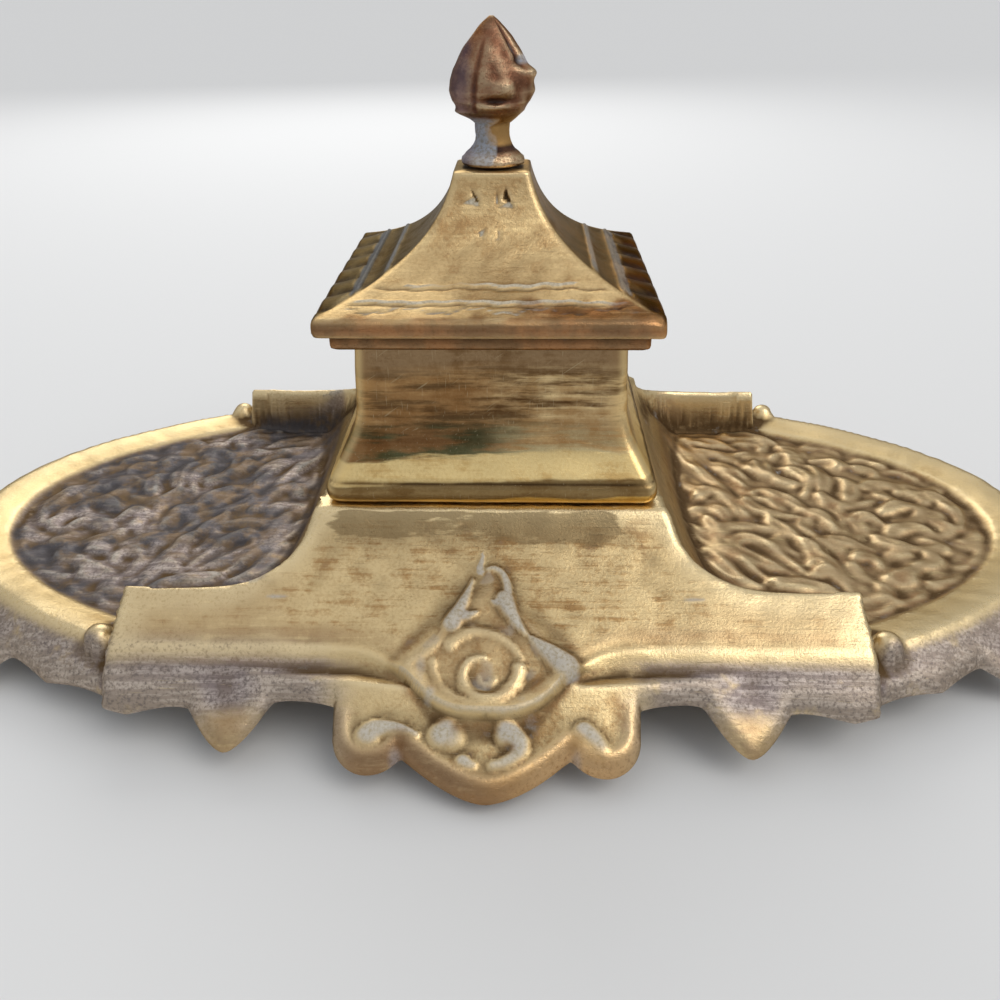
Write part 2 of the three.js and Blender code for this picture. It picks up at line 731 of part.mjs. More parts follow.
function lidSolid() {
  const step = LID_STEP_WIDTH / 2;
  const rim = LID_WIDTH / 2;
  const rings = [
    squareRing(step, LID_Z, LID_CORNER),
    squareRing(step, LID_Z + LID_STEP, LID_CORNER),
    squareRing(rim, LID_Z + LID_STEP, LID_CORNER),
  ];
  const count = 12;
  for (let k = 0; k <= count; k += 1) {
    const height = ROOF_HEIGHT * (k / count) ** 1.4;
    rings.push(squareRing(roofHalf(height), RIM_TOP_Z + height, LID_CORNER));
  }
  const hollow = [squareRing(LID_OPENING / 2, LID_Z - WALL, HOLLOW_CORNER)];
  const levels = 9;
  for (let k = 1; k <= levels; k += 1) {
    const inside = underRoof((HOLLOW_RISE * k) / levels);
    hollow.push(squareRing(Math.min(LID_OPENING / 2, inside.half), inside.z, HOLLOW_CORNER));
  }
  const studHole = rod(STUD_RADIUS + GAP, PLATFORM_Z - 4 * LID_WALL, PLATFORM_Z + WALL, 16);
  return union([loft(rings), lidBarrelSolid(), gadroonSolids()]).subtract(loft(hollow))
    .subtract(studHole)
    .subtract(pinBore());
}

// Slanted gadroons along the left and right edges of the rim.
function gadroonSolids() {
  const pitch = (LID_WIDTH - 2 * GADROON_RADIUS) / GADROONS;
  const x = LID_WIDTH / 2 - GADROON_LENGTH / 2;
  const beads = [];
  for (let i = 0; i < GADROONS; i += 1) {
    const y = pitch * (i + 0.5 - GADROONS / 2);
    const points = [];
    const radii = [];
    for (let k = 0; k <= 4; k += 1) {
      const part = k / 4;
      const reach = GADROON_LENGTH * (part - 0.5) * 0.95;
      const rise = RIM_TOP_Z - GADROON_SINK + (GADROON_LENGTH / 2 - reach) * 0.25;
      points.push(new THREE.Vector3(x + reach, y - reach * 0.35, rise));
      radii.push(GADROON_RADIUS * Math.sin(Math.PI * (0.14 + 0.72 * part)) ** 0.6);
    }
    beads.push(bead(points, radii, 6));
  }
  const right = union(beads);
  return right.add(right.mirror([1, 0, 0]));
}

// Finial: a bud of overlapping leaves on a neck and a flange, with its stud

function finialSolid() {
  const foot = PLATFORM_Z + GAP;
  const neckZ = foot + FLANGE_HEIGHT;
  const budZ = neckZ + NECK_HEIGHT;
  const rings = [];
  const sides = 24;
  const ring = (radius, z, leaf) => {
    const points = [];
    for (let i = 0; i < sides; i += 1) {
      const angle = (2 * Math.PI * i) / sides;
      const r = radius * (1 + leaf * Math.cos(4 * angle + z * 0.5));
      points.push(new THREE.Vector3(r * Math.cos(angle), r * Math.sin(angle), z));
    }
    return points;
  };
  rings.push(ring(STUD_RADIUS, foot - STUD_LENGTH, 0));
  rings.push(ring(STUD_RADIUS, foot, 0));
  rings.push(ring(FLANGE_RADIUS, foot, 0));
  rings.push(ring(FLANGE_RADIUS, foot + FLANGE_HEIGHT * 0.35, 0));
  rings.push(ring(FLANGE_RADIUS * 0.72, foot + FLANGE_HEIGHT * 0.6, 0));
  rings.push(ring(NECK_RADIUS, neckZ, 0));
  rings.push(ring(NECK_RADIUS, neckZ + NECK_HEIGHT * 0.5, 0));
  for (let k = 0; k <= 10; k += 1) {
    const part = k / 10;
    const swell = Math.sin(Math.PI * (0.16 + 0.8 * part ** 0.8)) ** 0.9;
    rings.push(ring(BUD_RADIUS * swell, budZ + BUD_HEIGHT * part, 0.05 * swell));
  }
  return loft(rings);
}

function nutSolid() {
  const top = underRoof(HOLLOW_RISE).z - GAP;
  const nut = rod(NUT_WIDTH / Math.sqrt(3), top - NUT_HEIGHT, top, 6);
  return nut.subtract(rod(STUD_RADIUS + PIN_PLAY, top - 2 * NUT_HEIGHT, top + NUT_HEIGHT, 16));
}

// Pot for ink: a round cup whose lip rests on the deck

function potSolid() {
  const lip = DECK_Z + GAP;
  const inner = POT_RADIUS - POT_WALL;
  const foot = lip - POT_DEPTH;
  return turned([
    new THREE.Vector2(0, foot),
    new THREE.Vector2(POT_RADIUS - POT_ROUND, foot),
    new THREE.Vector2(POT_RADIUS, foot + POT_ROUND),
    new THREE.Vector2(POT_RADIUS, lip),
    new THREE.Vector2(POT_LIP_RADIUS, lip),
    new THREE.Vector2(POT_LIP_RADIUS, lip + POT_LIP * 0.7),
    new THREE.Vector2(POT_LIP_RADIUS - POT_ROUND / 2, lip + POT_LIP),
    new THREE.Vector2(inner, lip + POT_LIP * 0.6),
    new THREE.Vector2(inner, foot + POT_WALL + POT_ROUND),
    new THREE.Vector2(inner - POT_ROUND, foot + POT_WALL),
    new THREE.Vector2(0, foot + POT_WALL),
  ], 40);
}

// Materials

function brass(color, roughness) {
  return new THREE.MeshStandardMaterial({ color, roughness, metalness: 1 });
}

const oldBrass = 0xb89a5c;
const brightBrass = 0xc6ab6b;
const redBrass = 0x8a5f45;
const steel = 0x8d8578;
const porcelain = new THREE.MeshStandardMaterial({ color: 0xe9e4d6, roughness: 0.2, metalness: 0 });

// Assembly

const group = new THREE.Group();

function addPiece(parent, name, solid, material) {
  const mesh = new THREE.Mesh(toGeometry(solid), material);
  mesh.name = name;
  parent.add(mesh);
}

addPiece(group, 'tray', traySolid(), brass(oldBrass, 0.45));
addPiece(group, 'well_body', wellSolid(), brass(brightBrass, 0.35));
addPiece(group, 'ink_pot', potSolid(), porcelain);
addPiece(group, 'hinge_pin', pinSolid(), brass(steel, 0.4));
screwPlaces().forEach(([place, x, y]) => {
  const screw = screwSolid().translate([x, y, 0]);
  addPiece(group, `base_screw_${place}`, screw, brass(steel, 0.5));
});

const lidGroup = new THREE.Group();
addPiece(lidGroup, 'lid', lidSolid(), brass(brightBrass, 0.38));
addPiece(lidGroup, 'finial', finialSolid(), brass(redBrass, 0.45));
addPiece(lidGroup, 'finial_nut', nutSolid(), brass(steel, 0.5));
group.add(lidGroup);

export default group;
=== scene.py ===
# Brass desk inkwell: an oval cast tray with two pen dishes, a square well on a
# hollow plinth, a hinged pagoda lid with a bud finial and a loose pot for ink.
# +Z up, -Y is the front. Sizes are in millimetres; meshes are made in metres.
import math

import bpy
import numpy as np
from mathutils import Matrix, Vector
from mathutils.geometry import delaunay_2d_cdt
from mathutils.kdtree import KDTree


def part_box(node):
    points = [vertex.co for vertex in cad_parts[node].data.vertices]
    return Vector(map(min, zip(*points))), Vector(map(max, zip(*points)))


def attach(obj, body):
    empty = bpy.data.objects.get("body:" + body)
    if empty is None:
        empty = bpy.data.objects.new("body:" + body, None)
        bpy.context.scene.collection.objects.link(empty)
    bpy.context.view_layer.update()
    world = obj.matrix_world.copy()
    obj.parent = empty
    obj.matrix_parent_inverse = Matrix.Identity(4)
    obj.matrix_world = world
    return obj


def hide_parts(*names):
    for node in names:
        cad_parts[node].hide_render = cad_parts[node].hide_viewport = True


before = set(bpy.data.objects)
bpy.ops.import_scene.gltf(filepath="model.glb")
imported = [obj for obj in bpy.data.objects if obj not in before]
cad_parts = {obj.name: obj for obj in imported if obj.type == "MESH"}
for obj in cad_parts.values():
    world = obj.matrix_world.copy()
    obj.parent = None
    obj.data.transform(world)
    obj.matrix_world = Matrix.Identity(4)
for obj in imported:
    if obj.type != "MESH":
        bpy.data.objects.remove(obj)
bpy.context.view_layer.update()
scene = bpy.context.scene

# Camera: close to the front edge of the tray, looking down at the well, about
# where the photograph was taken from.
camera_place = Vector((0.0055, -0.1694, 0.1170))
camera_yaw = math.radians(-1.58)
camera_pitch = math.radians(30.8)
camera_roll = math.radians(0.44)
forward = Vector((
    math.sin(camera_yaw) * math.cos(camera_pitch),
    math.cos(camera_yaw) * math.cos(camera_pitch),
    -math.sin(camera_pitch),
))
level_right = Vector((math.cos(camera_yaw), -math.sin(camera_yaw), 0.0))
level_down = forward.cross(level_right)
right = math.cos(camera_roll) * level_right + math.sin(camera_roll) * level_down
up = -forward.cross(right)
camera_data = bpy.data.cameras.new("camera")
camera_data.sensor_width = 36.0
camera_data.lens = 31.6
camera_data.clip_start = 0.01
camera = bpy.data.objects.new("camera", camera_data)
scene.collection.objects.link(camera)
turn = Matrix((right, up, -forward)).transposed().to_4x4()
camera.matrix_world = Matrix.Translation(camera_place) @ turn
scene.camera = camera

# Studio: a pale paper floor in a grey room that is brighter overhead, a large
# soft key light from the front right, and a soft lamp behind.
scene.view_settings.view_transform = "Standard"
world = bpy.data.worlds.new("studio")
scene.world = world
world.use_nodes = True
room = world.node_tree
room_light = room.nodes["Background"]
room_place = room.nodes.new("ShaderNodeTexCoord")
room_split = room.nodes.new("ShaderNodeSeparateXYZ")
room.links.new(room_place.outputs["Generated"], room_split.inputs[0])
room_rise = room.nodes.new("ShaderNodeMapRange")
room_rise.inputs["From Min"].default_value = 0.0
room_rise.inputs["From Max"].default_value = 0.8
room_rise.inputs["To Min"].default_value = 0.40
room_rise.inputs["To Max"].default_value = 0.78
room.links.new(room_split.outputs["Z"], room_rise.inputs["Value"])
room.links.new(room_rise.outputs[0], room_light.inputs["Strength"])
room_light.inputs["Color"].default_value = (0.94, 0.96, 1.0, 1.0)


def add_lamp(name, kind, energy, aim, place=(0.0, 0.0, 0.0)):
    """A lamp that shines along its aim. Gives back its light for more settings."""
    light = bpy.data.lights.new(name, kind)
    light.energy = energy
    lamp = bpy.data.objects.new(name, light)
    lamp.location = place
    lamp.rotation_euler = Vector(aim).to_track_quat("-Z", "Y").to_euler()
    scene.collection.objects.link(lamp)
    return light


key_light = add_lamp("key_light", "SUN", 0.9, (-0.55, 0.35, -0.75))
key_light.angle = math.radians(40.0)
key_light.color = (1.0, 0.97, 0.93)
rear_light = add_lamp("rear_light", "AREA", 2.2, (0.15, -0.75, -0.5), (-0.15, 0.75, 0.55))
rear_light.size = 0.6

floor_half = 12.0
floor_mesh = bpy.data.meshes.new("floor")
floor_corners = [(-1, -1), (1, -1), (1, 1), (-1, 1)]
floor_mesh.from_pydata(
    [(floor_half * sx, floor_half * sy, 0.0) for sx, sy in floor_corners], [], [(0, 1, 2, 3)]
)
floor = bpy.data.objects.new("floor", floor_mesh)
scene.collection.objects.link(floor)
floor_paper = bpy.data.materials.new("floor_paper")
floor_paper.use_nodes = True
floor_shader = floor_paper.node_tree.nodes["Principled BSDF"]
floor_shader.inputs["Base Color"].default_value = (0.72, 0.72, 0.71, 1.0)
floor_shader.inputs["Roughness"].default_value = 0.85
floor_mesh.materials.append(floor_paper)

# Tray: one thin sand casting in brass, hollow underneath, chased by hand.
# Straight front and rear bars carry the plinth; the rim runs round two pen
# dishes with leaf scrolls, and a scalloped apron hangs from it.
rim_half_x = 116.0
rim_half_y = 60.0
rim_top = 15.1
panel_top = 12.1
ridge_y = 53.3
ridge_top = 17.6
bar_end = 66.3
end_edge = bar_end + 0.8
end_slope = 8.0
bar_wall = 42.6
plinth_half = 31.7
plinth_top = 32.9
flank_run = 15.0
flank_waist = 4.5
apron_reach = 20.4
tip_top = 1.8
tip_half = 14.0
lobe_place = 19.3
lobe_half = 6.4
drip_place = 44.0
drip_half = 7.5
scallop = 18.0
boss_out = 10.7
boss_drop = 4.1
face_corner_x = 38.9
wall = 2.6
ear_radius = 2.8
ear_place = (70.3, 47.7, 14.8)


def smooth_step(low, high, value):
    """0 under low, 1 over high, with a soft run between."""
    part = np.clip((value - low) / (high - low), 0.0, 1.0)
    return part * part * (3.0 - 2.0 * part)


def soft_min(first, second, blend):
    """The lower of two heights, with a worn edge where they cross."""
    part = np.clip(0.5 + 0.5 * (second - first) / blend, 0.0, 1.0)
    return second + (first - second) * part - 0.5 * blend * part * (1.0 - part)


def soft_max(first, second, blend):
    """The higher of two heights, with a fillet where they cross."""
    return -soft_min(-first, -second, blend)


def hump(value, middle, width):
    """A rounded bump of height 1 at the middle."""
    return np.exp(-(((value - middle) / width) ** 2))


def waver(x, y, size, seed):
    """Uneven skin of a hand casting, between about -1 and 1."""
    rng = np.random.default_rng(seed)
    total = np.zeros(np.shape(x))
    waves = 7
    for _ in range(waves):
        angle, phase = rng.uniform(0.0, 2.0 * math.pi, 2)
        pitch = 2.0 * math.pi / (size * rng.uniform(0.6, 1.7))
        total += np.sin(pitch * (x * math.cos(angle) + y * math.sin(angle)) + phase)
    return total / (0.5 * waves)


def edge_reach(along):
    """How far the apron's edge stands out from the ridge, at a distance from
    the middle of its cartouche."""
    away = np.abs(along)
    edge = 6.0 + 1.2 * (1.0 - np.abs(np.sin(math.pi * (away - drip_place) / scallop)))
    drip = 12.4 - 6.4 * np.minimum(1.0, np.abs(away - drip_place) / drip_half) ** 1.5
    tip = apron_reach - 6.2 * (np.minimum(away, tip_half) / tip_half) ** 1.6
    tip = np.where(away < tip_half, tip, 0.0)
    lobe_away = np.abs(away - lobe_place)
    lobe = 11.0 + 0.85 * lobe_half * np.sqrt(1.0 - np.minimum(1.0, lobe_away / lobe_half) ** 2)
    lobe = np.where(lobe_away < lobe_half, lobe, 0.0)
    return np.maximum(np.maximum(edge, drip), np.maximum(tip, lobe))


def tray_outline(spacing):
    """The tray's edge seen from above, as one closed loop of points."""
    x = np.arange(0.0, bar_end, spacing / 3.0)
    side = np.column_stack([x, ridge_y + edge_reach(x)])
    angle = np.linspace(0.0, math.acos(bar_end / rim_half_x), 700)
    arc = np.column_stack([rim_half_x * np.cos(angle), rim_half_y * np.sin(angle)])
    steps = np.hypot(*np.diff(arc, axis=0).T)
    along = np.concatenate([[0.0], np.cumsum(steps)])
    out = np.column_stack([rim_half_y * np.cos(angle), rim_half_x * np.sin(angle)])
    out /= np.hypot(out[:, 0], out[:, 1])[:, None]
    end = arc + out * edge_reach(along)[:, None]
    end = end[end[:, 0] > bar_end + 0.2]
    quarter = np.vstack([end, [[bar_end + 0.1, side[-1, 1] - 1.2]], side[::-1]])
    half = np.vstack([quarter, (quarter * [-1.0, 1.0])[-2::-1]])
    loop = np.vstack([half, (half * [1.0, -1.0])[-2:0:-1]])
    gaps = np.hypot(*np.diff(np.vstack([loop, loop[:1]]), axis=0).T)
    reach = np.concatenate([[0.0], np.cumsum(gaps)])
    count = int(reach[-1] / spacing)
    at = np.linspace(0.0, reach[-1], count, endpoint=False)
    closed = np.vstack([loop, loop[:1]])
    return np.column_stack([np.interp(at, reach, closed[:, k]) for k in range(2)])


def rim_offset(x, y):
    """Distance outside the rim's crest, measured by offset ovals."""
    low = np.full(np.shape(x), 1.0 - rim_half_y)
    high = np.full(np.shape(x), 30.0)
    halvings = 22
    for _ in range(halvings):
        middle = (low + high) / 2.0
        outside = (x / (rim_half_x + middle)) ** 2 + (y / (rim_half_y + middle)) ** 2 > 1.0
        low = np.where(outside, middle, low)
        high = np.where(outside, high, middle)
    return (low + high) / 2.0


def apron_height(crest, reach):
    """The apron curves down from its crest to the table."""
    part = np.clip(reach / apron_reach, 0.0, 1.15)
    return crest - (crest - tip_top) * part * (1.36 - 0.36 * part)


def cove_fall(part):
    """Share of the plinth's height that is left, 1 at the top and 0 below."""
    inner = np.clip(part, 0.0, 1.0)
    fall = 0.78 * (1.0 - inner) ** 0.9 + 0.22 * np.exp(-inner / 0.16) * (1.0 - inner)
    return fall - 2.3 * np.minimum(part, 0.0)


def boss_swell(x):
    """How much the ridge swells out round the boss, 1 in the middle."""
    return np.exp(-((np.abs(x) / 15.0) ** 3))


def ridge_line(x):
    """Where the ridge between plinth face and apron runs."""
    return ridge_y + boss_out * boss_swell(x)


def bar_height(x, y):
    """Face of the plinth and the bars, the ridge, and the apron under it."""
    across = np.abs(y)
    swell = boss_swell(x)
    out = boss_out * swell
    crest = ridge_y + out
    rise = np.clip((across - bar_wall) / (crest - bar_wall), 0.0, 1.0) ** 1.5
    face_part = (across - out * rise - plinth_half) / (ridge_y - plinth_half)
    upper = ridge_top + (plinth_top - ridge_top) * cove_fall(face_part)
    span = 6.6 + 13.8 * np.exp(-((np.abs(x) / 20.0) ** 2.2))
    reach = (across - crest) * span / (span - out)
    lower = apron_height(ridge_top, reach) - 0.06 * hump(reach, 2.4, 1.4) * (1.0 - swell)
    top = np.where(across < crest, upper, lower)
    fade = np.where(across < crest, rise, np.clip(1.0 - reach / span, 0.0, 1.0))
    lip = 0.16 * hump(across, crest + 0.1, 0.6) - 0.14 * hump(across, crest - 1.3, 0.6)
    return top - boss_drop * swell * fade + lip * (1.0 - swell)


def face_edge(wide):
    """Where the plinth's face ends above the dish: the edge runs out in a curve
    from the well's foot to the bar."""
    return bar_wall + 0.6 - 3.5 * np.exp((face_corner_x - np.maximum(wide, 30.0)) / 4.7)


def edge_roll(gap, radius):
    """How far a rounded edge falls at a gap inside its border."""
    part = np.clip(1.0 - gap / radius, 0.0, 1.0)
    return radius * (1.0 - np.sqrt(1.0 - part**2))


def flank_reach(across):
    """How far the plinth's side face runs out over the dish, least in the middle."""
    return flank_run - flank_waist * (1.0 - np.minimum(across / bar_wall, 1.0) ** 2)


def tray_form(x, y):
    """The casting's plain form, without its relief."""
    wide, across = np.abs(x), np.abs(y)
    offset = rim_offset(x, y)
    rim_steps = ([0.0, 1.2, 3.75, 7.2, 8.2, 9.0], [15.1, 15.05, 14.6, 13.7, 13.0, 12.1])
    oval = np.where(offset > 0.0, apron_height(rim_top, offset), np.interp(-offset, *rim_steps))
    flank_part = (wide - plinth_half) / flank_reach(across)
    flank = panel_top + (plinth_top - panel_top) * cove_fall(flank_part)
    flank -= end_slope * np.maximum(flank_part - 1.0, 0.0) * flank_run
    edge_y = face_edge(wide)
    edge_part = (edge_y - plinth_half) / (ridge_y - plinth_half)
    edge_top = ridge_top + (plinth_top - ridge_top) * cove_fall(edge_part)
    steep = 2.2 + 5.8 * smooth_step(face_corner_x, face_corner_x + 9.0, wide)
    inner_wall = edge_top + steep * (across - edge_y)
    end_wall = panel_top + end_slope * (end_edge - wide)
    side = soft_max(flank, np.minimum(inner_wall, end_wall), 2.0)
    side = np.where(across > bar_wall + 4.0, end_wall, side)
    top = np.full(np.shape(x), plinth_top)
    face = bar_height(x, y)
    face = face - edge_roll(end_edge - wide, 1.9) - edge_roll(across - edge_y + 0.1, 0.9)
    raised = soft_min(soft_min(face, side, 1.5), top, 1.2)
    return soft_max(oval, raised, 1.0)


def curve_points(points, count):
    """Points along a cubic curve given by its four points."""
    a, b, c, d = [np.array(point) for point in points]
    t = np.linspace(0.0, 1.0, count)[:, None]
    return (1 - t) ** 3 * a + 3 * t * (1 - t) ** 2 * b + 3 * t**2 * (1 - t) * c + t**3 * d


def stroke_height(x, y, points, width, height, tail=0.4, lean=0.0):
    """Height of one chased stroke: a round head that thins to its tail. A lean
    makes one side steep and the other gentle, as on a carved leaf."""
    steps = 64
    path = curve_points(points, steps + 1)
    low = path.min(axis=0) - 2.2 * width
    high = path.max(axis=0) + 2.2 * width
    near = (x > low[0]) & (x < high[0]) & (y > low[1]) & (y < high[1])
    result = np.zeros(np.shape(x))
    if not near.any():
        return result
    gap = np.hypot(x[near, None] - path[None, :, 0], y[near, None] - path[None, :, 1])
    step = gap.argmin(axis=1)
    part = step / steps
    way = np.gradient(path, axis=0)[step]
    turned = way[:, 0] * (y[near] - path[step, 1]) - way[:, 1] * (x[near] - path[step, 0])
    half = width * (1.0 - (1.0 - tail) * part**1.3) * (1.0 + lean * np.sign(turned))
    if lean:
        half *= 0.45 + 0.55 * np.sin(math.pi * np.minimum(part + 0.12, 0.5))
    across = gap[np.arange(len(step)), step] / half
    crown = np.clip(1.0 - across**2, 0.0, 1.0) ** (1.0 + 0.35 * (lean > 0.0))
    result[near] = height * (1.0 - 0.35 * part**2) * crown
    return result


# Leaf scrolls of a pen dish: each line is one stroke, from its head to its tail
dish_strokes = [
    [(43.5, 33.5), (47, 20.5), (53.5, 12.5), (56, -0.5)],
    [(45.5, 36), (49.5, 24.5), (55, 19), (58.5, 12.5)],
    [(47, 7.5), (50, 12.5), (53, 8), (54, 0)],
    [(48.5, -11), (49.5, -3.5), (57.5, -3), (65.5, -12)],
    [(65.5, -12), (67, -14.5), (66.5, -17.5), (64.5, -20)],
    [(51, -14), (52, -8.5), (57.5, -8), (64, -25.5)],
    [(46.5, -3), (47.5, -7), (48, -9.5), (48.5, -13)],
    [(42.5, -6), (45.5, -12.5), (50.5, -18), (56, -26.5)],
    [(51, -15), (55, -20), (57.5, -22), (61.5, -23.5)],
    [(57, 5.5), (58.5, 0.5), (62.5, -1), (67.5, -1.5)],
    [(69.5, 3.5), (65, 9.5), (61.5, 14), (59.5, 9)],
    [(60.5, -3), (62, -7), (64, -8.5), (66, -10.5)],
    [(70, 14), (67.5, 13.5), (65.5, 18.5), (67, 24.5)],
    [(75, 26.5), (73.5, 29.5), (70.5, 32), (68, 26)],
    [(46, 36), (52.5, 37.5), (58.5, 37), (63.5, 36)],
    [(50, 29), (54, 27), (59, 27.5), (63, 30)],
    [(52.5, 23), (55.5, 22), (58, 19), (59.5, 17)],
    [(75, 8.5), (75.5, 2.5), (80, 2), (86.5, 6)],
    [(70, 0.5), (72.5, 0), (74, -4), (73.5, -7.5)],
    [(66.5, -16), (68.5, -18.5), (70, -23), (71.5, -25.5)],
    [(72.5, -10.5), (75, -12.5), (77.5, -13.5), (80, -14.5)],
    [(77, 11.5), (79.5, 17), (79.5, 23), (75.5, 23)],
    [(80, -2.5), (82.5, -0.5), (84, -2), (85, -4.5)],
    [(76, -17.5), (78.5, -16), (79, -18.5), (79, -21.5)],
    [(81.5, 6.5), (84.5, 11.5), (85, 17), (81, 17)],
    [(66, -23.5), (68.5, -21), (69.5, -25.5), (70.5, -30)],
    [(62.5, 24), (61, 20), (63.5, 16.5), (66.5, 15)],
    [(71, 20), (74, 18), (74, 12.5), (71, 8)],
    [(86, -8.5), (89, -4), (94, -5), (95.5, -10)],
    [(88, 1), (92, 5), (97, 3.5), (99, -2)],
    [(87, 12), (91, 14.5), (95, 12), (96.5, 7)],
    [(82, -10), (85, -14), (89, -15), (92.5, -13)],
    [(100, 8.5), (103.5, 4), (103.5, -2), (101, -6)],
    [(80, -25), (84, -24), (88, -20.5), (90, -17)],
]
# Broad leaves of the dish: beside the plinth's flank and along the rear bar
dish_leaves = [
    [(44, -16), (46, -22.5), (48.5, -26.5), (53, -27.5)],
    [(57, -27), (61, -27.5), (65, -27.5), (69.5, -31.5)],
    [(49, 34), (53, 34.5), (57, 33.5), (60, 31.5)],
    [(60, 38), (64, 38.5), (68, 37), (71, 34)],
    [(52, -33), (57, -34), (63, -34.5), (68, -36.5)],
]


def rim_sprays():
    """Short curls that follow the rim, turned left and right by turns."""
    sprays = []
    for k in range(17):
        angle = math.radians(-64.0 + 8.0 * k)
        start = np.array([98.5 * math.cos(angle), 46.5 * math.sin(angle)])
        along = np.array([-math.sin(angle), 0.75 * math.cos(angle)]) * (1.0 if k % 2 else -1.0)
        inward = -start / np.hypot(*start)
        if start[0] > 62.0:
            sprays.append([
                start + 3.6 * along + 1.2 * inward,
                start + 1.5 * along - 2.0 * inward,
                start - 2.6 * along - 0.8 * inward,
                start - 3.6 * along + 4.2 * inward,
            ])
    return sprays


def filling_curls(strokes):
    """Small curls for the bare places between the strokes, each laid along its
    nearest neighbour."""
    taken = np.vstack([curve_points(points, 9) for points in strokes])
    x, y = np.meshgrid(np.arange(46.0, 104.0, 1.0), np.arange(-38.0, 38.5, 1.0))
    spots = np.column_stack([x.ravel(), y.ravel()])
    spots = spots[rim_offset(spots[:, 0], spots[:, 1]) < -10.5]
    least_room = 3.6
    longest = 4.2
    curls = []
    for k in range(60):
        gaps = np.hypot(spots[:, None, 0] - taken[None, :, 0], spots[:, None, 1] - taken[None, :, 1])
        room = gaps.min(axis=1)
        best = room.argmax()
        if room[best] < least_room:
            break
        way = spots[best] - taken[gaps[best].argmin()]
        way /= max(np.hypot(*way), 1e-6)
        along = np.array([-way[1], way[0]]) * (1.0 if k % 2 else -1.0)
        reach = min(room[best], longest)
        curl = [
            spots[best] + 0.95 * reach * along + 0.3 * way,
            spots[best] + 0.45 * reach * along + 0.55 * reach * way,
            spots[best] - 0.45 * reach * along + 0.35 * reach * way,
            spots[best] - 0.95 * reach * along - 0.35 * reach * way,
        ]
        curls.append(curl)
        taken = np.vstack([taken, curve_points(curl, 7)])
    return curls


def dish_relief(x, y):
    """Relief of a pen dish: leaf scrolls that fill it from plinth to rim."""
    wide = np.abs(x)
    sprays = rim_sprays()
    curls = filling_curls(dish_strokes + dish_leaves + sprays)
    strokes = [(points, 3.6, 1.9) for points in dish_strokes]
    strokes += [(points, 4.6, 2.2) for points in dish_leaves]
    strokes += [(points, 3.2, 1.6) for points in sprays]
    strokes += [(points, 3.0, 1.4) for points in curls]
    relief = np.zeros(np.shape(x))
    channels = np.zeros(np.shape(x))
    for points, width, height in strokes:
        leaf = stroke_height(wide, y, points, width, height, 0.22, 0.3)
        relief = soft_max(relief, leaf, 0.5)
        channel = stroke_height(wide, y, points, 0.42 * width, 0.42 * height, 0.2, 0.3)
        channels = np.maximum(channels, channel)
    relief += 0.35 * waver(wide, y, 6.0, 7) - channels
    relief -= relief.min()
    inside = smooth_step(7.8, 9.8, -rim_offset(x, y))
    clear = smooth_step(bar_wall - 0.6, bar_wall - 2.6, np.abs(y))
    off_flank = smooth_step(-3.2, 0.4, wide - plinth_half - flank_reach(np.abs(y)))
    worn = 0.88 + 0.12 * waver(x, y, 22.0, 5)
    return (relief * worn - 0.15) * inside * clear * off_flank


def boss_shape(x, y):
    """Shell boss over the ridge: how far inside its sides and its lower rim a
    point is, and the height of its plate."""
    across = np.abs(y)
    half = 16.8 * (np.clip(across - 36.5, 0.01, 21.5) / 21.5) ** 1.45
    return half - np.abs(x), ridge_line(x) + 0.2 - across, 21.2 - 0.4245 * (across - 50.9)


# Chased lines of the boss: spiral and shell first, then the flames over it
shell_strokes = [
    ([(5.4, -57.6), (5.4, -61.4), (-0.6, -63.4), (-3.5, -60.2)], 1.55, 0.80, 0.80),
    ([(-3.5, -60.2), (-4.9, -58.0), (-3.2, -55.6), (-0.4, -56.1)], 1.30, 0.60, 0.50),
    ([(-6.4, -53.8), (-3.8, -50.6), (2.8, -50.8), (5.8, -56.2)], 1.60, 0.50, 0.60),
    ([(1.2, -59.4), (0.4, -60.3), (-1.3, -60.0), (-1.4, -58.6)], 1.00, 0.35, 0.70),
    ([(-9.2, -56.6), (-8.8, -60.0), (-5.4, -62.0), (-1.0, -62.9)], 1.20, 0.30, 0.60),
    ([(-6.8, -51.0), (-8.4, -53.8), (-10.8, -55.8), (-13.4, -56.8)], 1.30, 0.40, 0.60),
]
flame_strokes = [
    ([(-6.3, -50.2), (-5.4, -48.4), (-3.9, -45.6), (-2.9, -42.2)], 2.15, 0.90, 0.18),
    ([(-5.2, -48.8), (-4.0, -49.2), (-2.9, -48.9), (-1.7, -48.3)], 1.35, 0.60, 0.25),
    ([(3.3, -45.2), (3.6, -41.6), (1.6, -39.8), (-0.2, -40.4)], 1.05, 0.65, 0.60),
    ([(2.9, -46.2), (3.6, -48.2), (4.9, -50.2), (6.8, -52.2)], 2.20, 0.95, 0.16),
    ([(3.2, -46.4), (2.2, -47.0), (1.4, -47.0), (0.4, -46.5)], 1.40, 0.60, 0.30),
    ([(13.6, -57.0), (11.6, -55.8), (9.0, -54.0), (6.9, -52.2)], 2.90, 0.90, 0.14),
    ([(-1.6, -40.8), (-2.2, -39.6), (-0.8, -38.4), (-1.5, -37.0)], 0.95, 0.25, 0.30),
]
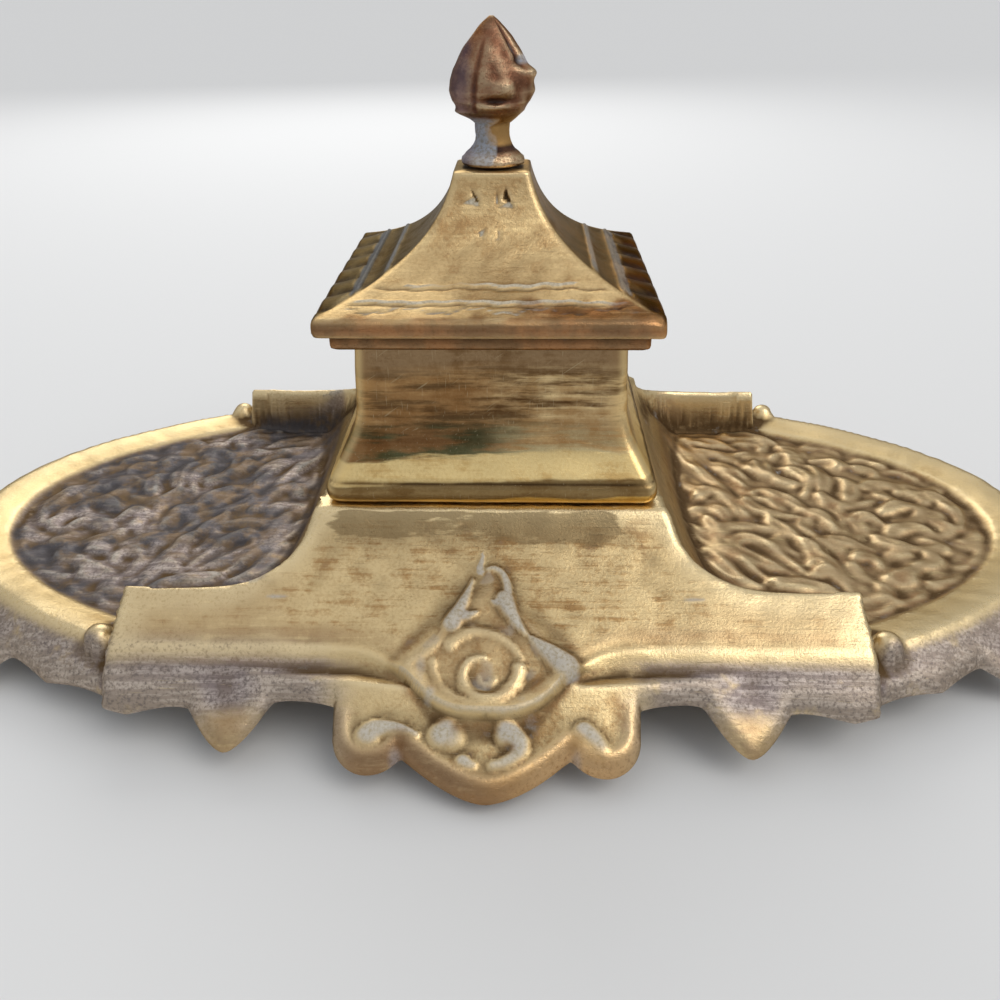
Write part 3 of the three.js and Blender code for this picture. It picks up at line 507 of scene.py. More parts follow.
# Blobs of the cartouche under the boss. It hangs steeply, so that its lengths
# along Y are short against those on the metal.
cartouche_strokes = [
    ([(-19.3, -65.7), (-18.4, -64.6), (-15.0, -64.4), (-11.4, -65.8)], 2.8, 1.05, 0.30),
    ([(-6.8, -65.9), (-6.5, -66.0), (-6.2, -66.1), (-5.9, -66.2)], 3.3, 1.20, 0.95),
    ([(3.4, -65.9), (6.4, -65.9), (6.8, -68.8), (1.4, -69.8)], 2.5, 1.05, 0.55),
    ([(-3.6, -69.2), (-3.2, -69.4), (-2.8, -69.6), (-2.2, -69.7)], 1.7, 0.70, 0.80),
    ([(16.2, -64.9), (17.0, -65.3), (18.0, -66.0), (18.8, -66.9)], 2.2, 1.00, 0.85),
]
cartouche_slant = 1.45


def blob_height(x, front, points, width, height, tail):
    """Height of a cartouche's blob, measured along its steep face."""
    slanted = [(px, cartouche_slant * py) for px, py in points]
    return stroke_height(x, cartouche_slant * front, slanted, width, height, tail)


def bar_relief(x, y):
    """Relief of a bar's middle: the boss with its spiral, and the cartouche."""
    across = np.abs(y)
    front = -across
    side_gap, rim_gap, plate = boss_shape(x, y)
    body = smooth_step(-3.2, 4.4, side_gap) * smooth_step(-0.10, 0.55, rim_gap)
    within = np.minimum(side_gap, rim_gap)
    relief = np.maximum(plate - tray_form(x, y), 0.0) * body
    relief *= 1.0 - 0.75 * smooth_step(53.0, 63.0, across)
    relief -= 0.55 * smooth_step(1.2, 3.6, within) * smooth_step(44.0, 52.0, across)
    relief += 0.08 * hump(rim_gap, 0.6, 0.6) * smooth_step(0.0, 3.0, side_gap)
    relief -= 0.28 * hump(rim_gap, -0.3, 0.3) * smooth_step(-3.0, 1.0, side_gap)
    carved = np.zeros(np.shape(x))
    for stroke in shell_strokes + flame_strokes:
        carved = soft_max(carved, stroke_height(x, front, *stroke), 0.2)
    for stroke in cartouche_strokes:
        carved = soft_max(carved, blob_height(x, front, *stroke), 0.2)
    return relief + carved - 0.05


def end_relief(x, y):
    """Relief of an end cartouche: a leaf between two round beads."""
    out = np.abs(x) - rim_half_x
    side = np.abs(y)
    leaf = 1.2 * np.clip(1.0 - (side / (0.2 + 0.42 * np.clip(out - 3.0, 0, 9))) ** 2, 0, 1) ** 0.7
    leaf *= smooth_step(3.0, 4.6, out) * smooth_step(16.5, 14.0, out)
    bead = 1.2 * np.clip(1.0 - np.hypot(side - 9.0, out - 9.5) ** 2 / 2.2**2, 0, 1) ** 0.6
    far_bead = 1.0 * np.clip(1.0 - np.hypot(side - 18.6, out - 8.0) ** 2 / 1.7**2, 0, 1) ** 0.6
    return leaf + bead + far_bead


def staggered(low_x, high_x, low_y, high_y, spacing):
    """Even grid of points with every other row shifted by half a step."""
    rows = np.arange(low_y, high_y, spacing * 0.866)
    columns = np.arange(low_x, high_x, spacing)
    x, y = np.meshgrid(columns, rows)
    x[::2] += spacing / 2.0
    return np.column_stack([x.ravel(), y.ravel()])


def inside_loop(points, loop):
    """True for each point inside a closed loop."""
    x, y = points[:, 0], points[:, 1]
    inside = np.zeros(len(points), bool)
    for (ax, ay), (bx, by) in zip(loop, np.roll(loop, -1, axis=0)):
        if ay == by:
            continue
        crosses = ((ay > y) != (by > y)) & (x < ax + (y - ay) * (bx - ax) / (by - ay))
        inside ^= crosses
    return inside


def nearest_gap(points, targets):
    """Distance from each point to the closest target."""
    tree = KDTree(len(targets))
    for k, target in enumerate(targets):
        tree.insert((target[0], target[1], 0.0), k)
    tree.balance()
    return np.array([tree.find((point[0], point[1], 0.0))[2] for point in points])


def fine_zone(points):
    """True where the tray has close ornament and needs a close grid."""
    x, y = np.abs(points[:, 0]), np.abs(points[:, 1])
    offset = rim_offset(points[:, 0], points[:, 1])
    dish = (x > 38.0) & (y < bar_wall - 0.4) & (offset < -7.0)
    boss = (x < 27.5) & (y > 36.5)
    end = (x > rim_half_x) & (y < 27.0)
    return dish | boss | end


def tray_grid(outline, spacing, fine_spacing):
    """Points and triangles over the tray, closer where it is carved."""
    half_x, half_y = outline.max(axis=0)
    coarse = staggered(-half_x, half_x, -half_y, half_y, spacing)
    points = coarse
    if fine_spacing:
        fine = staggered(-half_x, half_x, -half_y, half_y, fine_spacing)
        points = np.vstack([coarse[~fine_zone(coarse)], fine[fine_zone(fine)]])
    inner = 0.6 * (fine_spacing or spacing)
    points = points[inside_loop(points, outline)]
    points = points[nearest_gap(points, outline) > inner]
    if fine_spacing:
        row_step = 0.42
        wall_x = np.arange(33.0, bar_end, row_step)
        rim_x = np.arange(0.0, 17.5, row_step)
        walls = [(side_x * wall_x, side_y * (face_edge(wall_x) + step))
                 for side_x in (-1, 1) for side_y in (-1, 1)
                 for step in (0.75, 0.32, 0.02, -0.35, -0.8, -1.4)]
        crest = ridge_line(rim_x)
        walls += [(side_x * rim_x[side_x < 0:], side_y * (crest + step)[side_x < 0:])
                  for side_x in (-1, 1) for side_y in (-1, 1)
                  for step in (-0.9, -0.5, -0.15, 0.15, 0.5, 0.9)]
        rows = np.vstack([np.column_stack(row) for row in walls])
        points = points[nearest_gap(points, rows) > 0.3]
        points = np.vstack([points, rows])
    loop = [Vector(point) for point in np.vstack([outline, points]).tolist()]
    made = delaunay_2d_cdt(loop, [], [list(range(len(outline)))], 1, 1e-6, False)
    flat = np.array([tuple(point) for point in made[0]])
    faces = np.array([tuple(face) for face in made[2]])
    faces = faces[inside_loop(flat[faces].mean(axis=1), outline)]
    return flat, [tuple(face) for face in faces.tolist()]


def solid_volume(points, faces):
    """Signed volume, negative where the faces point inwards."""
    total = 0.0
    for count in {len(face) for face in faces}:
        ring = np.array([face for face in faces if len(face) == count])
        for k in range(1, count - 1):
            a, b, c = points[ring[:, 0]], points[ring[:, k]], points[ring[:, k + 1]]
            total += np.einsum("ij,ij->i", a, np.cross(b, c)).sum() / 6.0
    return total


def make_piece(name, points, faces, masks=None, sharp=50.0):
    """Mesh object from points in millimetres. Masks are values per point."""
    points = np.asarray(points, float)
    if solid_volume(points, faces) < 0.0:
        faces = [tuple(reversed(face)) for face in faces]
    mesh = bpy.data.meshes.new(name)
    mesh.from_pydata((points / 1000.0).tolist(), [], [list(map(int, face)) for face in faces])
    mesh.shade_smooth()
    mesh.set_sharp_from_angle(angle=math.radians(sharp))
    for key, values in (masks or {}).items():
        layer = mesh.attributes.new(key, "FLOAT", "POINT")
        layer.data.foreach_set("value", np.asarray(values, np.float32))
    piece = bpy.data.objects.new(name, mesh)
    scene.collection.objects.link(piece)
    return piece


def evened_out(values, faces, rounds):
    """Columns of values, each replaced by the mean of its neighbours, a number
    of times over."""
    ring = np.array(faces)
    starts = np.concatenate([ring.ravel(), np.roll(ring, -1, axis=1).ravel()])
    ends = np.concatenate([np.roll(ring, -1, axis=1).ravel(), ring.ravel()])
    total = len(values)
    count = np.maximum(np.bincount(starts, minlength=total), 1)
    for _ in range(rounds):
        values = np.column_stack([
            np.bincount(starts, weights=column[ends], minlength=total) / count for column in values.T
        ])
    return values


def relief_masks(points, faces, rounds, scale):
    """Crest and hollow masks: how far each point stands over or under the
    mean of its surroundings."""
    smooth = evened_out(points, faces, rounds)
    corners = [points[[face[k] for face in faces]] for k in range(3)]
    flat = np.cross(corners[1] - corners[0], corners[2] - corners[0])
    normal = np.zeros(points.shape)
    for k in range(3):
        np.add.at(normal, [face[k] for face in faces], flat)
    normal /= np.maximum(np.linalg.norm(normal, axis=1), 1e-9)[:, None]
    proud = ((points - smooth) * normal).sum(axis=1) / scale
    return np.clip(proud, 0.0, 1.0), np.clip(-proud, 0.0, 1.0)


def tray_height(x, y):
    """The tray's finished top, with relief and the uneven skin of a casting."""
    top = tray_form(x, y)
    middle = (np.abs(x) < 29.0) & (np.abs(y) > 35.0)
    top[middle] += bar_relief(x[middle], y[middle])
    dish = (np.abs(x) > 33.0) & (np.abs(y) < bar_wall + 1.0)
    top[dish] += dish_relief(x[dish], y[dish])
    end = (np.abs(x) > rim_half_x) & (np.abs(y) < 27.0)
    top[end] += end_relief(x[end], y[end])
    for side_x in (-1, 1):
        for side_y in (-1, 1):
            gap = np.hypot(x - side_x * ear_place[0], y - side_y * ear_place[1])
            ear = ear_place[2] + np.sqrt(np.clip(ear_radius**2 - gap**2, 0.0, None))
            top = np.where(gap < ear_radius, soft_max(top, ear, 0.6), top)
    return top + 0.10 * waver(x, y, 17.0, 1) + 0.05 * waver(x, y, 5.0, 2)


edge_spacing = 0.75
top_spacing = 1.0
carving_spacing = 0.52
under_spacing = 2.4
least_wall = 1.4
feeler = 2.2
outline = tray_outline(edge_spacing)
top_xy, top_faces = tray_grid(outline, top_spacing, carving_spacing)
top_x, top_y = top_xy[:, 0], top_xy[:, 1]
top_wide, top_across = np.abs(top_x), np.abs(top_y)
top_offset = rim_offset(top_x, top_y)
cast_z = tray_height(top_x, top_y)
worn_z = evened_out(cast_z[:, None], top_faces, 2)[:, 0]
carved_zone = (top_offset < -7.5) & (top_wide > 32.5) & (top_across < bar_wall + 2.0)
edge_gap = nearest_gap(top_xy, tray_outline(0.3))
edge_round = 1.9
rolled = 0.50 * hump(edge_gap, 1.7, 0.9) - 0.12 * hump(edge_gap, 4.2, 1.2)
rolled *= smooth_step(26.5, 22.0, top_wide) * smooth_step(60.5, 63.5, top_across)
past_rim = np.where(top_wide > bar_end, top_offset, -9.0)
on_apron = smooth_step(0.0, 2.5, np.maximum(top_across - ridge_line(top_x), past_rim))
top_z = np.where(carved_zone, worn_z, cast_z) + rolled * on_apron
top_z = np.maximum(top_z - 0.85 * edge_roll(edge_gap, edge_round), 0.6)
for _ in range(6):
    rim_z = top_z[: len(outline)]
    top_z[: len(outline)] = (np.roll(rim_z, 1) + 2.0 * rim_z + np.roll(rim_z, -1)) / 4.0

under_xy, under_faces = tray_grid(outline, under_spacing, None)
spots = [(0.0, 0.0)]
spots += [(feeler * math.cos(a), feeler * math.sin(a)) for a in np.arange(8) * math.pi / 4]
lowest = np.min([tray_form(under_xy[:, 0] + dx, under_xy[:, 1] + dy) for dx, dy in spots], axis=0)
straight = tray_form(under_xy[:, 0], under_xy[:, 1])
under_z = np.maximum(np.minimum(lowest - least_wall, straight - wall), 0.0)

top_count = len(top_xy)
edge_count = len(outline)
under_z[:edge_count] = np.maximum(top_z[:edge_count] - 1.0, 0.0)
tray_points = np.vstack([
    np.column_stack([top_xy, top_z]),
    np.column_stack([under_xy, under_z]),
])
tray_faces = list(top_faces)
tray_faces += [tuple(k + top_count for k in reversed(face)) for face in under_faces]
for k in range(edge_count):
    after = (k + 1) % edge_count
    tray_faces.append((k + top_count, after + top_count, after))
    tray_faces.append((k + top_count, after, k))


def highest(*layers):
    """The highest of several masks, point by point."""
    return np.max(layers, axis=0)


crest_fine, hollow_fine = relief_masks(tray_points, tray_faces, 4, 0.16)
crest_wide, hollow_wide = relief_masks(tray_points, tray_faces, 24, 0.70)
tray_x, tray_y, tray_z = tray_points[:, 0], tray_points[:, 1], tray_points[:, 2]
tray_wide, tray_across = np.abs(tray_x), np.abs(tray_y)
front_side = -tray_across
tray_offset = rim_offset(tray_x, tray_y)
edge_all = np.concatenate([edge_gap, np.zeros(len(under_xy))])
ridge_gap = tray_across - ridge_line(tray_x)
boss_side, boss_rim, _ = boss_shape(tray_x, tray_y)
boss_inner = np.minimum(boss_side, boss_rim)
outside_rim = np.where(tray_wide > bar_end, tray_offset, -9.0)
far_left = smooth_step(-30.0, -50.0, tray_x)

# Zones of the tray, 0 to 1 each
in_middle = smooth_step(30.0, 20.0, tray_wide)
apron_mask = smooth_step(0.4, 2.0, np.maximum(ridge_gap, outside_rim))
rough_edge = apron_mask * (1.0 - in_middle)
cartouche_mask = in_middle * smooth_step(59.5, 64.0, tray_across)
on_boss = in_middle * smooth_step(0.2, 1.6, boss_inner)
rim_band = smooth_step(-8.4, -7.2, outside_rim) * smooth_step(1.5, 0.0, outside_rim)
dish_mask = smooth_step(7.0, 9.0, -tray_offset) * smooth_step(39.5, 41.5, tray_wide)
dish_mask *= smooth_step(bar_wall, bar_wall - 1.0, tray_across)
drip = smooth_step(59.8, 62.5, tray_across) * hump(tray_wide, drip_place, 6.5)
gutter = hump(ridge_gap, 0.9, 1.1) * smooth_step(8.0, 20.0, tray_wide)
plain_face = smooth_step(0.0, -2.5, ridge_gap) * (1.0 - dish_mask)
plain_face *= smooth_step(1.5, -2.5, boss_inner) * (tray_across > plinth_half - 1.0)

# Pale deposit: on the flames, the blobs, two small leaves and the crests of the
# left dish, along the boss's lower rim, and in spots and patches round it
deposits = [0.85 * stroke_height(tray_x, front_side, points, 0.95 * width, 1.0, tail)
            for points, width, _, tail in flame_strokes]
deposits += [0.8 * blob_height(tray_x, front_side, points, 0.9 * width, 1.0, tail)
             for points, width, _, tail in cartouche_strokes]
deposits += [0.6 * smooth_step(1.0, 0.3, np.hypot((tray_x - x) / 3.2, (front_side - y) / 0.9))
             for x, y in ((-37.6, -45.2), (36.2, -45.0))]
left_leaves = crest_fine * smooth_step(-36.0, -44.0, tray_x) * (tray_offset < -9.0)
bloom = highest(
    *deposits,
    0.6 * hump(np.hypot(tray_x + 9.4, front_side + 61.0), 0.0, 1.3),
    0.50 * in_middle * hump(boss_rim, 0.5, 0.5) * smooth_step(-0.5, 1.5, boss_side),
    0.42 * on_boss * smooth_step(0.15, 0.9, waver(tray_x, tray_y, 5.5, 21)),
    0.7 * hump(np.hypot(tray_wide - 14.6, front_side + 68.4), 0.0, 1.5),
    0.50 * left_leaves * (tray_across < bar_wall),
)
# Brown stain over the tray, and painted shade under the boss's rim, beside the boss and over the right of
# the bar
stain_and_shade = highest(
    0.85 * hump(ridge_gap, -2.4, 1.5) * (1.0 - 0.5 * in_middle),
    # Painted shade under the boss's rim
    in_middle * hump(boss_rim, -1.0, 0.8) * smooth_step(-4.0, 0.0, boss_side),
    # Painted shade down the hollows beside the boss
    0.6 * hump(boss_side, -2.2, 2.0) * smooth_step(46.0, 54.0, tray_across) * (ridge_gap < 0.0),
    0.7 * cartouche_mask * smooth_step(68.5, 72.0, tray_across),
    0.5 * smooth_step(-30.0, -44.0, tray_x) * smooth_step(40.0, 43.0, tray_across),
    0.9 * drip,
    0.65 * dish_mask,
    0.7 * apron_mask * smooth_step(6.0, 3.0, tray_z),
    0.5 * on_boss,
    # Painted shade that dims the bar's face towards the right, where the key lamp falls
    0.45 * smooth_step(26.0, 46.0, tray_x) * hump(ridge_gap, -5.0, 3.0),
    0.9 * cartouche_mask * smooth_step(3.2, 0.4, edge_all),
)
# Painted highlights: along the ridge (brighter to the right), on the boss's rim, the cartouche's right
# edge, the oval rim and the drips' right edges
painted_highlight = highest(
    0.5 * hump(ridge_gap, 0.2, 0.5) * (0.3 + 0.7 * smooth_step(-50.0, 0.0, tray_x)),
    0.15 * hump(boss_rim, 0.8, 0.8) * in_middle,
    0.7 * hump(edge_all, 1.4, 0.8) * in_middle * smooth_step(-4.0, 8.0, tray_x),
    0.35 * rim_band,
    0.6 * drip * hump(edge_all, 1.2, 0.8) * smooth_step(43.0, 47.0, tray_x),
)
dull_edge = highest(rough_edge * (1.0 - 0.9 * drip), 0.12 * dish_mask)
ash = highest(
    dull_edge * (1.0 - 0.5 * smooth_step(-45.0, -20.0, tray_y) * apron_mask),
    dish_mask * far_left,
    0.6 * hump(ridge_gap, -0.3, 1.4) * smooth_step(-18.0, -46.0, tray_x),
)
# Where a dark olive reflection is painted high on the plinth's faces
painted_olive_reflection = smooth_step(26.4, 30.4, tray_z)
painted_olive_reflection *= smooth_step(plinth_half - 0.6, plinth_half + 0.6, tray_across)
painted_olive_reflection *= smooth_step(30.0, 22.0, np.abs(tray_x + 3.0))

# How much of the bare crests still shines
cast_edge = cartouche_mask * smooth_step(3.4, 1.0, edge_all) * smooth_step(10.0, 0.0, tray_x)
shine = (1.0 - 0.75 * rough_edge) * (1.0 - 0.75 * cast_edge)
shine *= 1.0 - dish_mask * (0.25 + 0.35 * far_left)
shine *= 1.0 - 0.6 * in_middle * hump(boss_rim, 0.8, 0.9)
tray_piece = make_piece("cast_tray", tray_points, tray_faces, {
    "crest": np.maximum(crest_fine, 0.8 * crest_wide) * shine,
    "hollow": np.clip(0.55 * hollow_fine + 0.85 * hollow_wide, 0.0, 1.0) * (1.0 - 0.6 * gutter),
    "bloom": bloom,
    "stain_and_shade": stain_and_shade,
    "painted_highlight": painted_highlight,
    "ash": ash,
    "painted_olive_reflection": painted_olive_reflection,
    "dusk": dish_mask * smooth_step(-25.0, -55.0, tray_x),
    "drawn": 0.12 + 0.75 * plain_face,
    "copper": cartouche_mask * smooth_step(3.4, 0.8, edge_all),
}, sharp=70.0)


def paint(red, green, blue):
    """Colour as a painter reads it from a swatch, 0 to 255 each."""
    return tuple((value / 255.0) ** 2.2 for value in (red, green, blue)) + (1.0,)


def add_node(tree, kind, inputs, **settings):
    """One shader node with its settings; inputs are values or other outputs."""
    node = tree.nodes.new("ShaderNode" + kind)
    for key, value in settings.items():
        setattr(node, key, value)
    for key, value in inputs.items():
        if isinstance(value, bpy.types.NodeSocket):
            tree.links.new(value, node.inputs[key])
        else:
            node.inputs[key].default_value = value
    return node


def noise(tree, where, scale, detail=5.0, stretch=(1.0, 1.0, 1.0)):
    """Cloudy pattern; a stretch draws it out into streaks."""
    placed = add_node(tree, "Mapping", {"Vector": where, "Scale": stretch}).outputs[0]
    inputs = {"Vector": placed, "Scale": scale, "Detail": detail, "Roughness": 0.6}
    return add_node(tree, "TexNoise", inputs).outputs[0]


def fade(tree, value, low, high):
    """0 to 1 as the value goes from low to high."""
    inputs = {"Value": value, "From Min": low, "From Max": high}
    return add_node(tree, "MapRange", inputs, interpolation_type="SMOOTHSTEP").outputs[0]


def sum_up(tree, kind, first, second):
    """Arithmetic on two values, kept between 0 and 1."""
    node = add_node(tree, "Math", {0: first, 1: second}, operation=kind, use_clamp=True)
    return node.outputs[0]


def times(tree, first, second):
    """Product of two values."""
    return sum_up(tree, "MULTIPLY", first, second)


def spread(tree, value, low, high):
    """The value 0 to 1 stretched to run from low to high."""
    inputs = {"Value": value, "To Min": low, "To Max": high}
    return add_node(tree, "MapRange", inputs).outputs[0]


def mix(tree, factor, under, over, blend="MIX"):
    """One colour laid over another."""
    inputs = {0: factor, 6: under, 7: over}
    return add_node(tree, "Mix", inputs, data_type="RGBA", blend_type=blend).outputs[2]


def mask(tree, name):
    """A mask that the mesh carries."""
    return add_node(tree, "Attribute", {}, attribute_name=name).outputs["Fac"]


def new_material(name):
    """Material with its tree, its shader and the place on the piece."""
    material = bpy.data.materials.new(name)
    material.use_nodes = True
    tree = material.node_tree
    where = add_node(tree, "TexCoord", {}).outputs["Object"]
    return material, tree, tree.nodes["Principled BSDF"], where


def new_group(name, inputs, outputs):
    """Node group with named sockets."""
    tree = bpy.data.node_groups.new(name, "ShaderNodeTree")
    for key, kind in inputs:
        tree.interface.new_socket(key, in_out="INPUT", socket_type="NodeSocket" + kind)
    for key, kind in outputs:
        tree.interface.new_socket(key, in_out="OUTPUT", socket_type="NodeSocket" + kind)
    return tree, tree.nodes.new("NodeGroupInput").outputs, tree.nodes.new("NodeGroupOutput").inputs


def weigh(tree, start, *parts):
    """A start value plus patterns, each times its weight."""
    total = start
    for value, weight in parts:
        node = add_node(tree, "Math", {0: value, 1: weight, 2: total}, operation="MULTIPLY_ADD")
        total = node.outputs[0]
    return total


def build_aged_brass():
    """Old brass: pale metal on the crests, a brown film in drawn-out streaks,
    brown stain that in places is painted shade, painted highlights, dark hollows,
    grey ash, chalky deposit, pits and fine scratches."""
    tree, given, result = new_group("aged_brass", [
        ("Where", "Vector"), ("Crest", "Float"), ("Hollow", "Float"), ("Bloom", "Float"),
        ("Stain_and_shade", "Float"), ("Painted_highlight", "Float"), ("Ash", "Float"), ("Bare", "Color"),
        ("Film", "Color"), ("Dark", "Color"), ("Chalk", "Color"), ("Film Amount", "Float"),
        ("Streaks", "Float"),
    ], [("Color", "Color"), ("Metallic", "Float"), ("Roughness", "Float"), ("Height", "Float")])
    where = given["Where"]
    clouds = noise(tree, where, 60.0, 5.0)
    patches = noise(tree, where, 240.0, 6.0)
    grain = noise(tree, where, 1700.0, 4.0)
    dust = noise(tree, where, 5200.0, 2.0)
    streaks = noise(tree, where, 1150.0, 6.0, (0.05, 1.0, 1.0))
    scratches = noise(tree, where, 4200.0, 2.0, (0.03, 1.0, 1.0))

    drawn = weigh(tree, -0.5, (streaks, 1.0))
    film = weigh(
        tree, given["Film Amount"],
        (clouds, 0.7), (drawn, given["Streaks"]), (patches, 0.8), (grain, 0.2),
    )
    film = fade(tree, film, 0.97, 1.29)
    spotty = fade(tree, weigh(tree, 0.0, (patches, 0.5), (streaks, 0.5)), 0.32, 0.50)
    # Brown stain, which in places is painted shade, darkens the colour in spots
    stain_and_shade_amount = times(tree, times(tree, given["Stain_and_shade"], spotty), 0.75)
    film = sum_up(tree, "SUBTRACT", film, times(tree, given["Crest"], 0.9))
    # The film is also cleared where a highlight is painted.
    film = sum_up(tree, "SUBTRACT", film, times(tree, given["Painted_highlight"], 0.7))

    dulled = times(tree, fade(tree, grain, 0.40, 0.66), 0.30)
    bare = mix(tree, dulled, given["Bare"], given["Film"])
    color = mix(tree, film, bare, given["Film"])
    color = mix(tree, stain_and_shade_amount, color, mix(tree, 0.7, given["Film"], paint(120, 78, 50)))
    pale = mix(tree, 0.6, given["Bare"], paint(244, 224, 180))
    # Painted highlight: a pale gold laid where the piece's highlight mask asks for it.
    gold = mix(tree, 0.5, given["Bare"], paint(226, 190, 118))
    color = mix(tree, times(tree, given["Painted_highlight"], fade(tree, patches, 0.25, 0.5)), color, gold)
    ash = mix(tree, fade(tree, streaks, 0.42, 0.60), paint(140, 128, 126), paint(184, 172, 166))
    ash = mix(tree, fade(tree, grain, 0.32, 0.60), paint(122, 112, 108), ash)
    broken = fade(tree, weigh(tree, 0.0, (clouds, 0.5), (patches, 0.5)), 0.22, 0.46)
    ashen = times(tree, given["Ash"], broken)
    color = mix(tree, ashen, color, ash)
    dirt = times(tree, given["Hollow"], fade(tree, patches, 0.12, 0.45))
    color = mix(tree, dirt, color, given["Dark"])
    pits = times(tree, fade(tree, dust, 0.35, 0.28), fade(tree, clouds, 0.35, 0.6))
    color = mix(tree, times(tree, pits, 0.4), color, given["Dark"])
    worn = times(tree, given["Crest"], fade(tree, grain, 0.22, 0.55))
    color = mix(tree, times(tree, worn, 0.75), color, pale)
    lines = fade(tree, scratches, 0.66, 0.74)
    color = mix(tree, times(tree, lines, 0.35), color, pale)

    chalk = weigh(tree, given["Bloom"], (grain, -0.35), (patches, -0.45))
    chalk = fade(tree, chalk, -0.22, 0.30)
    chalk = times(tree, chalk, fade(tree, given["Bloom"], 0.02, 0.2))
    stray = times(tree, given["Hollow"], fade(tree, patches, 0.58, 0.76))
    chalk = sum_up(tree, "MAXIMUM", chalk, times(tree, stray, 0.7))
    powder = mix(tree, fade(tree, grain, 0.32, 0.62), paint(150, 146, 136), given["Chalk"])
    color = mix(tree, times(tree, chalk, 0.68), color, powder)

    metal = weigh(tree, 1.0, (chalk, -0.8), (dirt, -0.3), (ashen, -0.15))
    rough = weigh(tree, 0.26, (film, 0.12), (grain, 0.14), (ashen, 0.12), (dirt, 0.2),
                  (chalk, 0.35), (worn, -0.06))
    height = weigh(tree, 0.0, (grain, 0.5), (dust, 0.25), (streaks, 0.25), (chalk, 0.4),
                   (pits, -0.5), (lines, -0.25), (film, 0.15))
    for key, value in (("Color", color), ("Metallic", metal), ("Roughness", rough),
                       ("Height", height)):
        tree.links.new(value, result[key])
    return tree


aged_brass = build_aged_brass()


def brass(name, bare, film, dark, chalk, film_amount, streaks, bump, masks, tint=None):
    """Material of one brass piece. Masks are names that its mesh carries. A
    tint may change the colour over the piece."""
    material, tree, shader, where = new_material(name)
    group = tree.nodes.new("ShaderNodeGroup")
    group.node_tree = aged_brass
    tree.links.new(where, group.inputs["Where"])
    for key, value in (("Bare", bare), ("Film", film), ("Dark", dark), ("Chalk", chalk)):
        group.inputs[key].default_value = value
    group.inputs["Film Amount"].default_value = film_amount
    group.inputs["Streaks"].default_value = streaks
    for key in ("Crest", "Hollow", "Bloom", "Stain_and_shade", "Painted_highlight", "Ash"):
        if key.lower() in masks:
            tree.links.new(mask(tree, key.lower()), group.inputs[key])
    if "drawn" in masks:
        tree.links.new(mask(tree, "drawn"), group.inputs["Streaks"])
    color = group.outputs["Color"]
    if tint:
        color = tint(tree, where, color)
    shader.inputs["Specular Tint"].default_value = paint(190, 178, 162)
    tree.links.new(color, shader.inputs["Base Color"])
    tree.links.new(group.outputs["Metallic"], shader.inputs["Metallic"])
    tree.links.new(group.outputs["Roughness"], shader.inputs["Roughness"])
    surface = add_node(tree, "Bump", {
        "Height": group.outputs["Height"], "Strength": 1.0, "Distance": bump,
    })
    tree.links.new(surface.outputs[0], shader.inputs["Normal"])
    return material


def tray_tarnish_and_reflections(tree, where, color):
    """Painted olive reflection along the top of the plinth's faces, with a ragged
    lower edge, a blue-grey film over the left dish and copper-red edges of the
    cartouches, painted lighter to the right."""
    ragged = noise(tree, where, 520.0, 6.0, (0.25, 1.0, 1.0))
    drift = noise(tree, where, 70.0, 4.0, (0.6, 1.0, 1.0))
    # Painted dark olive reflection with a ragged lower edge
    olive = fade(tree, weigh(tree, mask(tree, "painted_olive_reflection"), (ragged, 1.5), (drift, 1.3)), 1.86, 2.08)
    color = mix(tree, times(tree, olive, 0.75), color, paint(132, 112, 80))
    dusk = times(tree, mask(tree, "dusk"), fade(tree, drift, 0.36, 0.54))
    cloudy = noise(tree, where, 190.0, 5.0)
    blue_grey = mix(tree, fade(tree, cloudy, 0.42, 0.62), paint(72, 74, 80), paint(116, 96, 72))
    color = mix(tree, times(tree, dusk, 0.78), color, blue_grey)
    split = add_node(tree, "SeparateXYZ", {"Vector": where}).outputs
    # The copper edges are painted lighter to the right, as lit from there
    painted_light_to_right = fade(tree, weigh(tree, split[0], (cloudy, 0.02)), 0.004, 0.016)
    copper = mix(tree, painted_light_to_right, paint(170, 144, 150), paint(218, 174, 138))
    reddened = mix(tree, 0.9, color, copper, "MULTIPLY")
    return mix(tree, times(tree, mask(tree, "copper"), 0.6), color, reddened)


tray_brass = brass(
    "old_cast_brass", bare=paint(220, 194, 144), film=paint(172, 136, 90),
    dark=paint(92, 72, 48), chalk=paint(182, 184, 184), film_amount=0.17, streaks=1.0,
    bump=0.00012, masks=("crest", "hollow", "bloom", "stain_and_shade", "painted_highlight", "ash", "drawn"),
    tint=tray_tarnish_and_reflections,
)
tray_piece.data.materials.append(tray_brass)
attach(tray_piece, "base")
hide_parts("tray")

# Well: a hollow square casting in brass, worn and polished, with a rounded foot
# band. Its deck has a round hole for the pot; two lugs at the rear hold the
# lid's pin, and four posts inside take the screws.
well_foot = 33.2
well_height = 28.6
well_half = 30.8
well_corner = 2.4
band_height = 4.0
neck_half = 24.8
neck_taper = 0.6
taper_run = 12.2
cove_height = 13.0
deck_hole = 17.4
well_wall = 2.6
post_radius = 4.2
post_height = 11.0
screw_place = 21.0
pin_y = 32.4
pin_z = 63.6
barrel_radius = 2.2
side_steps = 46
corner_steps = 8


